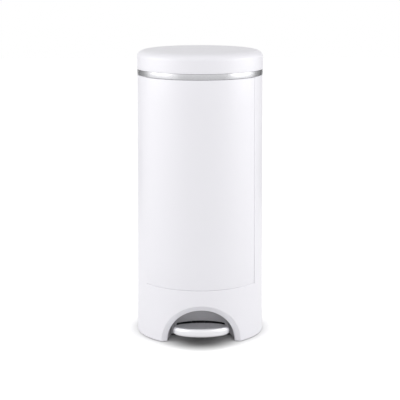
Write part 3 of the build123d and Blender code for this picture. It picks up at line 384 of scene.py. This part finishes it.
# ---------------------------------------------------------------- door
# The door is the front third of the wall: a curved skin of the same glossy white ABS with
# a turned-in flange, moulded in one piece. It swings on two steel pins at its left edge
# and is held shut by magnets.

DOOR_BOTTOM = 0.1088
DOOR_TOP = 0.5074
DOOR_SKIN = 0.0024
FLANGE_RADIUS = 0.1126
DOOR_EDGE_ROUND = 0.0007
DOOR_FOOT_ROUND = 0.0004
DOOR_FLANGE = 0.002
HEEL_ANGLE = -57.76
HEEL_TURN = 1.0
HEEL_SKEW = -0.92
FREE_ANGLE = 57.27
FREE_TURN = 0.95
PIN_ANGLE = -53
PIN_TURN = 1.4
PIN_FLANGE_RADIUS = 0.1174


def door_loops():
    """Closed C-shaped vertical sections across the door: outer face with rounded edges,
    top flange, inner face and bottom flange. The first and last sections are full depth,
    and the outer edge is rounded back there too."""
    edge_turn = np.radians(np.linspace(0, 90, 5))
    edge = EDGE_TURN * (1 - np.cos(edge_turn))
    back = DOOR_EDGE_ROUND * (1 - np.sin(edge_turn))
    heel = np.concatenate([HEEL_ANGLE + edge, [HEEL_ANGLE + HEEL_TURN]])
    free = np.concatenate([[FREE_ANGLE - FREE_TURN], FREE_ANGLE - edge[::-1]])
    middle = np.linspace(heel[-1] + 0.10, free[0] - 0.05, 109)
    angle = np.concatenate([heel, middle, free])
    inset = np.zeros(len(angle))
    inset[-len(back) :] = back[::-1]
    full = np.zeros(len(angle), bool)
    full[: len(heel)] = True
    full[-len(free) :] = True
    skew = np.zeros(len(angle))
    skew[: len(heel)] = HEEL_SKEW
    around_pin = np.abs(angle - PIN_ANGLE) < PIN_TURN
    theta, inset, full = angle[:, None], inset[:, None], full[:, None]
    corner = np.radians(np.linspace(0, 90, 5))[None, :]
    straight = (DOOR_BOTTOM + DOOR_EDGE_ROUND, DOOR_TOP - DOOR_EDGE_ROUND)
    rise = np.linspace(*straight, 9)[None, 1:-1]
    foot = DOOR_BOTTOM + DOOR_FOOT_ROUND * (1 - np.sin(corner))[:, ::-1]
    head = DOOR_TOP - DOOR_EDGE_ROUND * (1 - np.sin(corner))
    height = np.concatenate([foot, rise, head], axis=1)
    pull_foot = DOOR_FOOT_ROUND * (1 - np.cos(corner))[:, ::-1]
    pull_head = DOOR_EDGE_ROUND * (1 - np.cos(corner))
    pull = np.concatenate([pull_foot, 0 * rise, pull_head], axis=1)
    outer = plan(casing_radius(height) - np.maximum(inset, pull), theta, height)
    flange = np.where(around_pin, PIN_FLANGE_RADIUS, FLANGE_RADIUS)[:, None]
    under_head = DOOR_TOP - DOOR_FLANGE
    over_foot = DOOR_BOTTOM + DOOR_FLANGE
    inner_height = np.array(
        [[DOOR_TOP, under_head, under_head, 0.4, 0.3, 0.2, over_foot, over_foot, DOOR_BOTTOM]]
    )
    skin_radius = casing_radius(inner_height) - DOOR_SKIN
    on_flange = np.array([[True, True, False, False, False, False, False, True, True]])
    inner_radius = np.where(on_flange | full, flange, skin_radius)
    inner = plan(inner_radius, theta + skew[:, None], inner_height)
    return np.concatenate([outer, inner], axis=1)


door = lofted("Door_skin", door_loops(), around=False, crease=38)
finish_piece(door, "door", "white_shell", "front_door")

# ---------------------------------------------------------------- trim ring
# The trim ring is a thin ABS band plated satin chrome. It snaps over the collar between
# the casing and the lid and is open at the back for the hinge.

RING_RADIUS = 0.121
RING_BACK = 0.1162
RING_MIDDLE = 0.51357
RING_HALF = 0.00518
RING_BOW = 0.00028
RING_EASE = 0.04
RING_FOOT = 0.5084
RING_END = 171.2
HOOK_RADIUS = 0.1198
HOOK_TOP = 0.5186
HOOK_UNDER = 0.5112


def ring_loops():
    """The band's closed section at each azimuth from one end round the front to the
    other. Its face is bowed back as the square of the distance from its middle, a little
    faster at its two edges, and a shelf behind it hooks over the collar."""
    rise = np.linspace(-1, 1, 13)
    face_height = RING_MIDDLE + RING_HALF * rise * (1 - RING_EASE * rise**8)
    face = np.stack([RING_RADIUS - RING_BOW * rise**2, face_height], axis=-1)
    hook = [[RING_BACK, HOOK_TOP], [RING_BACK, HOOK_UNDER], [HOOK_RADIUS, HOOK_UNDER]]
    section = np.concatenate([face, hook, [[HOOK_RADIUS, RING_FOOT]]])
    angle = np.linspace(-RING_END, RING_END, 300)
    return plan(section[None, :, 0], angle[:, None], section[None, :, 1])


# Chrome plate over ABS: copper, a satin nickel and a thin chrome flash on the moulding. It
# gives a bright grey mirror that blurs what it shows.
finishes["bright_ring"] = finish(
    "Satin_chrome_plate", "CECED1", rough=0.27, grain=1.3, relief=0.002, metal=1.0
)
coat_nodes("bright_ring")
trim = lofted("Trim_ring_band", ring_loops(), around=False)
finish_piece(trim, "bin", "bright_ring", "trim_ring")

# ---------------------------------------------------------------- lid
# The lid is a shallow glossy white ABS cap with a softly rounded shoulder and a slightly
# crowned top. It is moulded with two hinge knuckles at the back and turns on a steel pin.

LID_RADIUS = 0.1213
LID_BOTTOM = 0.519
LID_LIP = 0.0003
LID_TOP = 0.5545
LID_CROWN = 0.001
SHOULDER_ACROSS = 0.0185
SHOULDER_TALL = 0.0125
LID_WALL = 0.0024
CRANK_CLEARED = 0.5276
CRANK_TURN = 4.4
HINGE_Y = 0.126
HINGE_Z = 0.517


def lid_section(inset, low):
    """Radius and height down one face of the lid from its middle: a crown that falls as
    the square of the radius, a quarter ellipse for the shoulder and an upright side."""
    side = LID_RADIUS - inset
    top = LID_TOP - inset
    wide = SHOULDER_ACROSS - inset / 2
    tall = SHOULDER_TALL - inset / 2
    rim = side - wide
    across = np.linspace(0, 1, 17)
    crown = np.stack([rim * across, top + LID_CROWN * (1 - across**2)], axis=-1)
    bend = np.radians(np.linspace(90, 0, 21))[1:]
    corner = np.stack([rim + wide * np.cos(bend), top - tall + tall * np.sin(bend)], axis=-1)
    down = np.linspace(top - tall, low, 5)[1:]
    skirt = np.stack([np.full(4, side), down], axis=-1)
    return np.concatenate([crown, corner, skirt])


def lid_loops():
    """The lid's closed section at each azimuth, with its lower edge raised over the
    crank at the back."""
    angle = np.linspace(0, 360, 288, endpoint=False)
    raised = np.abs(angle - 180) < CRANK_TURN
    outer = lid_section(0, LID_BOTTOM + LID_LIP)
    lip_turn = np.radians(np.linspace(0, 90, 4))[1:]
    lip_radius = LID_RADIUS - LID_LIP * (1 - np.cos(lip_turn))
    lip_height = LID_BOTTOM + LID_LIP * (1 - np.sin(lip_turn))
    lip = np.stack([lip_radius, lip_height], axis=-1)
    inner = lid_section(LID_WALL, LID_BOTTOM)[::-1]
    section = np.concatenate([outer, lip, inner])
    level = section[None, :, 1]
    height = np.where(raised[:, None], np.maximum(level, CRANK_CLEARED), level)
    return plan(section[None, :, 0], angle[:, None], height)


lid = lofted("Lid_shell", lid_loops(), crease=40)
finish_piece(lid, "lid", "white_shell", "lid_outer")

KNUCKLE_RADIUS = 0.0045
KNUCKLE_ROUND = 0.0006
BARREL_END = 374
WEB_TOP = 0.5338
WEB_FOOT = 0.5192
WEB_FRONT = 0.1165
WEB_BACK = 0.1219
WEB_INSIDE = 0.1203
WEB_FOOT_FRONT = 0.1175
WEB_FOOT_BACK = 0.1212


def knuckle_loops(near, far):
    """Sections across a hinge knuckle, from one end to the other: a round barrel about
    the pin, with a tapering web up the lid's side. Both ends are drawn in square to the
    outline by a quarter circle, and the web's front edge stays inside the lid's wall."""
    barrel = np.radians(np.linspace(180, BARREL_END, 41))
    ring = KNUCKLE_RADIUS * np.stack([np.cos(barrel), np.sin(barrel)], axis=-1)
    arc = np.array([HINGE_Y, HINGE_Z]) + ring
    slope = np.linspace(0, 1, 13)[1:, None]
    top = np.array([WEB_BACK, WEB_TOP])
    back = arc[-1] + (top - arc[-1]) * slope ** np.array([0.8, 1.0])
    front = np.stack([np.full(9, WEB_FRONT), np.linspace(WEB_TOP, WEB_FOOT, 9)], axis=-1)
    reach = np.linspace(WEB_FOOT_FRONT, WEB_FOOT_BACK, 4)
    foot = np.stack([reach, np.full(4, WEB_FOOT)], axis=-1)
    outline = np.concatenate([arc, back, front, foot])
    along = np.roll(outline, -1, axis=0) - np.roll(outline, 1, axis=0)
    inward = np.stack([-along[:, 1], along[:, 0]], axis=-1)
    inward /= np.linalg.norm(inward, axis=1)[:, None]
    bend = np.radians(np.linspace(0, 90, 5))
    draw = KNUCKLE_ROUND * (1 - np.sin(bend))
    step = KNUCKLE_ROUND * (1 - np.cos(bend))
    x = np.concatenate([near + step, far - step[::-1]])
    draw = np.concatenate([draw, draw[::-1]])[:, None, None]
    section = outline[None] + inward[None] * draw
    y = np.maximum(section[..., 0], np.sqrt(WEB_INSIDE**2 - x**2)[:, None])
    return np.stack(np.broadcast_arrays(x[:, None], y, section[..., 1]), axis=-1)


for name, near, far in (
    ("Lid_knuckle_right", 0.0185, 0.027),
    ("Lid_knuckle_left", -0.027, -0.0185),
):
    knuckle = lofted(name, knuckle_loops(near, far), around=False)
    finish_piece(knuckle, "lid", "white_shell")

# ---------------------------------------------------------------- pedal arch lining
# The recess behind the arch is lined by a separate mid-grey satin moulding, a half-round
# tunnel with a flat back. It is clipped in from below and the lever comes through a slot.

RECESS_BACK = -0.060
RECESS_WALL = 0.002
RECESS_FLOOR = 0.0047
SLOT_TOP = 0.0311
SLOT_HALF = 0.0470
SLOT_FALL = 0.0050
RECESS_TAPER = 0.0085
RECESS_SIDE_GAP = 0.0003
RECESS_TOP_GAP = 0.0002
RECESS_START = 0.0142


def tunnel_loops():
    """Half-round lining: at each angle round the arch a thin closed strip runs from just
    behind the surround's curved rear face to the back wall. Its half width falls in a
    straight line by the taper while its height stays, so that its sides close in."""
    span = 90 - math.degrees(math.asin((RECESS_FLOOR - FOOT_HEIGHT) / ARCH_INNER))
    psi = np.radians(np.linspace(-span, span, 97))[:, None]
    share = np.concatenate([np.linspace(0, 1, 5), np.linspace(1, 0, 5)])[None, :]
    radius = ARCH_INNER + RECESS_WALL * np.repeat([0, 1], 5)[None, :]
    x = (radius - RECESS_TAPER * share) * np.sin(psi)
    z = FOOT_HEIGHT + radius * np.cos(psi)
    front = -np.sqrt((casing_radius(z) - RECESS_START) ** 2 - x**2)
    back = RECESS_BACK + RECESS_WALL
    y = front + (back - front) * share
    return np.stack([x, y, z], axis=-1)


def back_wall_loops():
    """Flat back of the lining: upright strips whose tops follow the half round, and whose
    feet arch over the low slot that the lever and the pad's rear edge move in. The arch
    falls as the square of the distance from its middle."""
    reach = math.sqrt(ARCH_INNER**2 - (RECESS_FLOOR - FOOT_HEIGHT) ** 2) - RECESS_SIDE_GAP
    turn = np.linspace(-np.pi / 2, np.pi / 2, 121)
    x = reach * np.sin(turn)[:, None]
    over = SLOT_TOP - SLOT_FALL * (x / SLOT_HALF) ** 2
    foot = np.where(np.abs(x) < SLOT_HALF, over, RECESS_FLOOR)
    top = FOOT_HEIGHT + np.sqrt(ARCH_INNER**2 - x**2) - RECESS_TOP_GAP
    share = np.concatenate([np.linspace(0, 1, 9), np.linspace(1, 0, 9)])[None, :]
    z = foot + (top - foot) * share
    y = np.where(np.arange(18) < 9, RECESS_BACK, RECESS_BACK + RECESS_WALL)[None, :]
    x, y, z = np.broadcast_arrays(x, y, z)
    return np.stack([x, y, z], axis=-1)


# Polypropylene coloured grey in the mass, moulded in a finely spark-eroded mould. It gives
# an even, quiet grey without clear highlights.
finishes["grey_recess"] = finish(
    "Satin_grey_polypropylene", "C4C3C7", rough=0.45, grain=0.7, relief=0.012
)
coat_nodes("grey_recess")
tunnel = lofted("Recess_tunnel", tunnel_loops(), around=False)
finish_piece(tunnel, "bin", "grey_recess", "pedal_recess")
back_wall = lofted("Recess_back", back_wall_loops(), around=False)
finish_piece(back_wall, "bin", "grey_recess")

# ---------------------------------------------------------------- pedal
# The foot pad is an oval of satin silver anodised aluminium, its face slightly dished and
# its rim rolled over all round. It is screwed to the lever that lifts the push rod.

PEDAL_CENTRE = -0.097
PEDAL_X = 0.0542
PEDAL_Y = 0.0335
PEDAL_FRONT = 0.0350
PEDAL_FALL = 0.0064
PEDAL_LOW = 0.0180
PEDAL_UNDER = 0.0285
PEDAL_ROLL = 0.007
PEDAL_DISH = 0.0004


def pedal_top(y):
    """Height of the face, which falls gently from the pad's front to its back."""
    return PEDAL_FRONT - PEDAL_FALL * (y - PEDAL_CENTRE + PEDAL_Y) / (2 * PEDAL_Y)


def pedal_loops():
    """Closed section of the pad at each angle round the oval, from its middle over the
    dished face and the rolled rim to the underside. Each point keeps its distance from
    the oval's edge, so the rim is as wide at the ends as at the front."""
    angle = np.radians(np.linspace(0, 360, 192, endpoint=False))[:, None]
    share = np.linspace(0, 1, 15)[:-1]
    face_x = (PEDAL_X - PEDAL_ROLL) * share * np.cos(angle)
    face_y = PEDAL_CENTRE + (PEDAL_Y - PEDAL_ROLL) * share * np.sin(angle)
    face_z = pedal_top(face_y) - PEDAL_DISH * (1 - share**4)
    rim = np.radians(np.linspace(90, 0, 15))
    inset = PEDAL_ROLL * (1 - np.cos(rim))
    rim_y = PEDAL_CENTRE + (PEDAL_Y - inset) * np.sin(angle)
    rim_z = pedal_top(rim_y) - PEDAL_ROLL * (1 - np.sin(rim))
    skirt_in = np.array([0.0, 0.0003, 0.0010, 0.0022, 0.0034, 0.0038, 0.0040])
    skirt_z = PEDAL_LOW + np.array([0.0040, 0.0020, 0.0008, 0.0001, 0.0001, 0.0008, 0.0100])
    all_in = np.concatenate([inset, skirt_in])
    edge_x = (PEDAL_X - all_in) * np.cos(angle)
    edge_y = PEDAL_CENTRE + (PEDAL_Y - all_in) * np.sin(angle)
    edge_z = np.concatenate([rim_z, np.broadcast_to(skirt_z, (len(angle), 7))], axis=1)
    middle = np.zeros((len(angle), 1))
    x = np.concatenate([face_x, edge_x, middle], axis=1)
    y = np.concatenate([face_y, edge_y, middle + PEDAL_CENTRE], axis=1)
    z = np.concatenate([face_z, edge_z, middle + PEDAL_UNDER], axis=1)
    return np.stack([x, y, z], axis=-1)


# Aluminium sheet, pressed to shape, fine blasted and clear anodised. It gives a pale
# silver with broad, soft highlights on the rolled rim.
finishes["satin_pedal"] = finish(
    "Satin_anodised_aluminium", "EEEEF0", rough=0.40, grain=0.5, relief=0.004, metal=1.0
)
coat_nodes("satin_pedal")
pad = lofted("Pedal_pad_oval", pedal_loops())
finish_piece(pad, "pedal", "satin_pedal", "pedal_pad")

# ---------------------------------------------------------------- inner mouldings
# The collar, liner cassette and its cover, flap frame and flaps, lid plate, door liner,
# chamber tray and rod duct are satin white polypropylene mouldings, clipped or screwed in.

# Polypropylene, moulded in a finely spark-eroded mould. It gives an even satin white that
# is a little greyer than the glossy outside.
finishes["white_inner"] = finish(
    "Satin_white_polypropylene", "E2E2E5", rough=0.42, grain=0.7, relief=0.012
)
coat_nodes("white_inner")

# ---------------------------------------------------------------- lever, rod and brackets
# The parts that carry load are moulded in dark nylon filled with glass: the base plate,
# pedal lever, push rod and its guides, the lid's hinge brackets and the cutter's holder.

# Nylon with glass fibre, moulded, with the fibres lying near its skin. It gives a dull
# charcoal with faint streaks.
finishes["dark_moulding"] = finish(
    "Dark_glass_filled_nylon",
    "37373A",
    rough=0.52,
    grain=0.9,
    relief=0.018,
    vary=0.10,
    stretch=(1, 1, 0.4),
)
coat_nodes("dark_moulding")

# ---------------------------------------------------------------- steel hardware
# Screws, pins, the return spring, the crank under the lid, the keeper plates and the
# cutter's blade are small steel parts, bought in or pressed, and pushed or screwed home.

# Mild steel, turned or drawn, then zinc plated and passivated. It gives a cool grey with
# fine lines across it.
finishes["steel"] = finish(
    "Zinc_plated_steel",
    "B9BABD",
    rough=0.32,
    grain=0.6,
    relief=0.006,
    vary=0.08,
    stretch=(1, 1, 0.2),
    metal=1.0,
)
coat_nodes("steel")

# ---------------------------------------------------------------- feet and lid seal
# Four soft feet are pushed into the base plate so that the bin doesn't slide, and a soft
# ring round the lid's plug keeps the smell in.

# Natural and styrene rubber, moulded in a blasted mould. It gives a dull, slightly dusty
# black.
finishes["rubber"] = finish(
    "Black_moulded_rubber", "232325", rough=0.8, grain=0.8, relief=0.030, vary=0.15
)
coat_nodes("rubber")
# Soft thermoplastic rubber, extruded and joined to a ring. It gives a matt mid grey.
finishes["seal"] = finish(
    "Grey_extruded_seal", "9C9CA0", rough=0.7, grain=0.8, relief=0.015, vary=0.05
)
coat_nodes("seal")

# ---------------------------------------------------------------- liner film
# The film is one long tube gathered into the cassette's ring. It is pulled down through
# the throat a bag's length at a time.

# Polyethylene film, blown thin and gathered into pleats. It gives a milky blue white with
# upright streaks.
finishes["film"] = finish(
    "Blue_white_polyethylene_film",
    "D2DAE6",
    rough=0.35,
    grain=2.5,
    relief=0.060,
    vary=0.08,
    stretch=(1, 1, 0.15),
)
coat_nodes("film")

# ---------------------------------------------------------------- catch magnets
# Two magnets sit in pockets of the casing's latch side and hold the door's keeper plates.

# Ferrite, pressed, sintered and ground flat on its poles. It gives a flat dark grey.
finishes["magnet"] = finish(
    "Sintered_ferrite", "4A4A4C", rough=0.55, grain=0.4, relief=0.010, vary=0.12
)
coat_nodes("magnet")

# ---------------------------------------------------------------- room and light
# A white studio: a floor that reads white to the camera but keeps the bin's shadow, two
# soft boxes, a white surround, and reflectors and grey cards that only mirrors see.


def seen_directly(tree):
    """One for a ray from the camera, a mirror or a clear piece, and nought for light."""
    ray = add(tree, "ShaderNodeLightPath").outputs
    mirror = add(tree, "ShaderNodeMath", {"operation": "MAXIMUM"}).inputs
    tree.links.new(ray["Is Camera Ray"], mirror[0])
    tree.links.new(ray["Is Glossy Ray"], mirror[1])
    clear = add(tree, "ShaderNodeMath", {"operation": "MAXIMUM"})
    tree.links.new(mirror[0].node.outputs[0], clear.inputs[0])
    tree.links.new(ray["Is Transmission Ray"], clear.inputs[1])
    return clear.outputs[0]


def smooth_step(tree, value, start, stop, low, high):
    """A value that eases from low to high while another runs from start to stop."""
    return add(
        tree,
        "ShaderNodeMapRange",
        {"interpolation_type": "SMOOTHSTEP"},
        Value=value,
        From_Min=start,
        From_Max=stop,
        To_Min=low,
        To_Max=high,
    ).outputs[0]


FLOOR_HALF = 6
FLOOR_WHITE = 1.3
FLOOR_IN_MIRRORS = 0.95
FLOOR_FOR_LIGHT = 0.8
# Painted shadows on the floor, greyer round the foot and in front of the arch: a centre, start
# and stop distances in metres, and the grey at the start.
PAINTED_FOOT_SHADOW = {"centre": (0, 0, 0), "start": 0.118, "stop": 0.170, "low": 0.90}
PAINTED_ARCH_SHADOW = {"centre": (0, -0.100, 0), "start": 0.010, "stop": 0.080, "low": 0.47}


def floor_material():
    """White floor. The camera sees it as plain white multiplied by the shadow rendered on it.
    A painted shadow also makes it a little greyer round the foot, and greyer still in front
    of the arch, where the pedal's own shadow is deepest. Each painted shadow eases out from
    its centre between two distances in metres. Light sees the floor as an even, pale grey."""
    material = bpy.data.materials.new("Studio_floor")
    material.use_nodes = True
    tree = material.node_tree
    surface = tree.nodes["Principled BSDF"]
    place = add(tree, "ShaderNodeTexCoord").outputs["Object"]
    camera_ray = add(tree, "ShaderNodeLightPath").outputs["Is Camera Ray"]
    seen = add(
        tree,
        "ShaderNodeMapRange",
        Value=camera_ray,
        To_Min=FLOOR_IN_MIRRORS,
        To_Max=FLOOR_WHITE,
    ).outputs[0]
    for shadow in (PAINTED_FOOT_SHADOW, PAINTED_ARCH_SHADOW):
        away = add(tree, "ShaderNodeVectorMath", {"operation": "DISTANCE"})
        tree.links.new(place, away.inputs[0])
        away.inputs[1].default_value = shadow["centre"]
        seen = smooth_step(
            tree, away.outputs["Value"], shadow["start"], shadow["stop"], shadow["low"], seen
        )
    shade = add(
        tree,
        "ShaderNodeMapRange",
        Value=seen_directly(tree),
        To_Min=FLOOR_FOR_LIGHT,
        To_Max=seen,
    ).outputs[0]
    tree.links.new(shade, surface.inputs["Base Color"])
    surface.inputs["Roughness"].default_value = 0.9
    surface.inputs["Specular IOR Level"].default_value = 0.0
    return material


def flat_sheet(name, corners):
    """One flat four-cornered sheet."""
    mesh = bpy.data.meshes.new(name)
    mesh.from_pydata(corners, [], [(0, 1, 2, 3)])
    sheet = bpy.data.objects.new(name, mesh)
    bpy.context.collection.objects.link(sheet)
    return sheet


corners = [(x * FLOOR_HALF, y * FLOOR_HALF, 0) for x, y in ((-1, -1), (1, -1), (1, 1), (-1, 1))]
floor = flat_sheet("Studio_floor", corners)
floor.data.materials.append(floor_material())


def soft_box(name, place, target, width, height, power):
    """A rectangular lamp at a place, turned to face a target."""
    lamp = bpy.data.lights.new(name, "AREA")
    lamp.shape = "RECTANGLE"
    lamp.size = width
    lamp.size_y = height
    lamp.energy = power
    holder = bpy.data.objects.new(name, lamp)
    bpy.context.collection.objects.link(holder)
    holder.location = place
    aim = np.array(target) - np.array(place)
    flat = math.hypot(aim[0], aim[1])
    holder.rotation_euler = (math.atan2(flat, -aim[2]), 0, math.atan2(-aim[0], aim[1]))
    holder.visible_camera = False
    return holder


SOFT_BOX = {"target": (0, 0, 0.4), "width": 0.7, "height": 0.6}
REFLECTOR = {"target": (0, 0, 0.45), "height": 1.1}
soft_box("Left_soft_box", (-0.85, -0.25, 0.76), power=2.25, **SOFT_BOX)
soft_box("Right_soft_box", (0.85, -0.2, 0.72), power=2.2, **SOFT_BOX)
for name, place, width, power in (
    ("Left_reflector", (-1.2, -0.38, 0.45), 1.6, 2.1),
    ("Right_reflector", (1.28, -0.24, 0.45), 1.35, 1.8),
):
    reflector = soft_box(name, place, width=width, power=power, **REFLECTOR)
    reflector.visible_diffuse = False


def upright(near, far, low, high):
    """Corners of an upright sheet between two points in plan and two heights."""
    return [(*near, low), (*far, low), (*far, high), (*near, high)]


def card(name, corners, near_shade, far_shade):
    """A flat card, seen only in reflections. Its paint fades from one grey to another
    between its first two corners. The fade starts a millimetre early, so that it has a
    length where both corners are equally far back."""
    sheet = flat_sheet(name, corners)
    paint = bpy.data.materials.new(name)
    paint.use_nodes = True
    tree = paint.node_tree
    place = add(tree, "ShaderNodeTexCoord").outputs["Object"]
    along = add(tree, "ShaderNodeSeparateXYZ", Vector=place).outputs["Y"]
    fade = add(
        tree,
        "ShaderNodeMapRange",
        Value=along,
        From_Min=corners[0][1] - 0.001,
        From_Max=corners[1][1],
        To_Min=linear(near_shade)[0],
        To_Max=linear(far_shade)[0],
    )
    tree.links.new(fade.outputs[0], tree.nodes["Principled BSDF"].inputs["Base Color"])
    sheet.data.materials.append(paint)
    sheet.visible_camera = False
    sheet.visible_diffuse = False
    sheet.visible_shadow = False


CARD_TOP = 1.4
CARD_BACK = 1.5
card("Left_flag", upright((-1.32, 0.50), (-0.68, 1.22), 0.0, CARD_TOP), "DCDCDC", "3C3C3C")
card("Right_flag", upright((1.32, 0.50), (0.68, 1.22), 0.0, CARD_TOP), "CCCCCC", "343434")
back_edge = ((-1.0, CARD_BACK), (1.0, CARD_BACK))
card("Back_card", upright(*back_edge, 0.62, CARD_TOP), "CCCCCE", "CCCCCE")
top_plan = ((-1.0, -0.08), *back_edge, (1.0, -0.08))
card("Top_card", [(x, y, CARD_TOP) for x, y in top_plan], "4C4C4E", "9A9A9C")

AMBIENT_LOW = 1.12
AMBIENT_HIGH = 0.74
world = bpy.data.worlds.new("Studio_surround")
bpy.context.scene.world = world
world.use_nodes = True
sky = world.node_tree
surround = sky.nodes["Background"]
upward = add(sky, "ShaderNodeTexCoord").outputs["Generated"]
height = add(sky, "ShaderNodeSeparateXYZ", Vector=upward).outputs["Z"]
ambient = add(
    sky, "ShaderNodeMapRange", Value=height, To_Min=AMBIENT_LOW, To_Max=AMBIENT_HIGH
).outputs[0]
level = add(sky, "ShaderNodeMapRange", Value=seen_directly(sky), To_Min=ambient, To_Max=1.0)
sky.links.new(level.outputs[0], surround.inputs["Strength"])
surround.inputs["Color"].default_value = (1, 1, 1, 1)

# ---------------------------------------------------------------- camera
# A long lens from slightly above the bin, fitted to the rim, seam and base curves. It
# stands a little to the left and is tipped down towards the middle of the bin.

CAMERA_AWAY = 2.423
CAMERA_HEIGHT = 0.753
CAMERA_TURN = math.radians(-1.25)
CAMERA_TIP = math.radians(11.514)
CAMERA_LENS = 113.17
CAMERA_SENSOR = 36
camera = bpy.data.objects.new("Camera", bpy.data.cameras.new("Camera"))
bpy.context.collection.objects.link(camera)
camera_x = CAMERA_AWAY * math.sin(CAMERA_TURN)
camera_y = -CAMERA_AWAY * math.cos(CAMERA_TURN)
camera.location = (camera_x, camera_y, CAMERA_HEIGHT)
camera.rotation_euler = (math.pi / 2 - CAMERA_TIP, 0, CAMERA_TURN)
camera.data.sensor_width = CAMERA_SENSOR
camera.data.lens = CAMERA_LENS
bpy.context.scene.camera = camera
bpy.context.scene.view_settings.view_transform = "Standard"
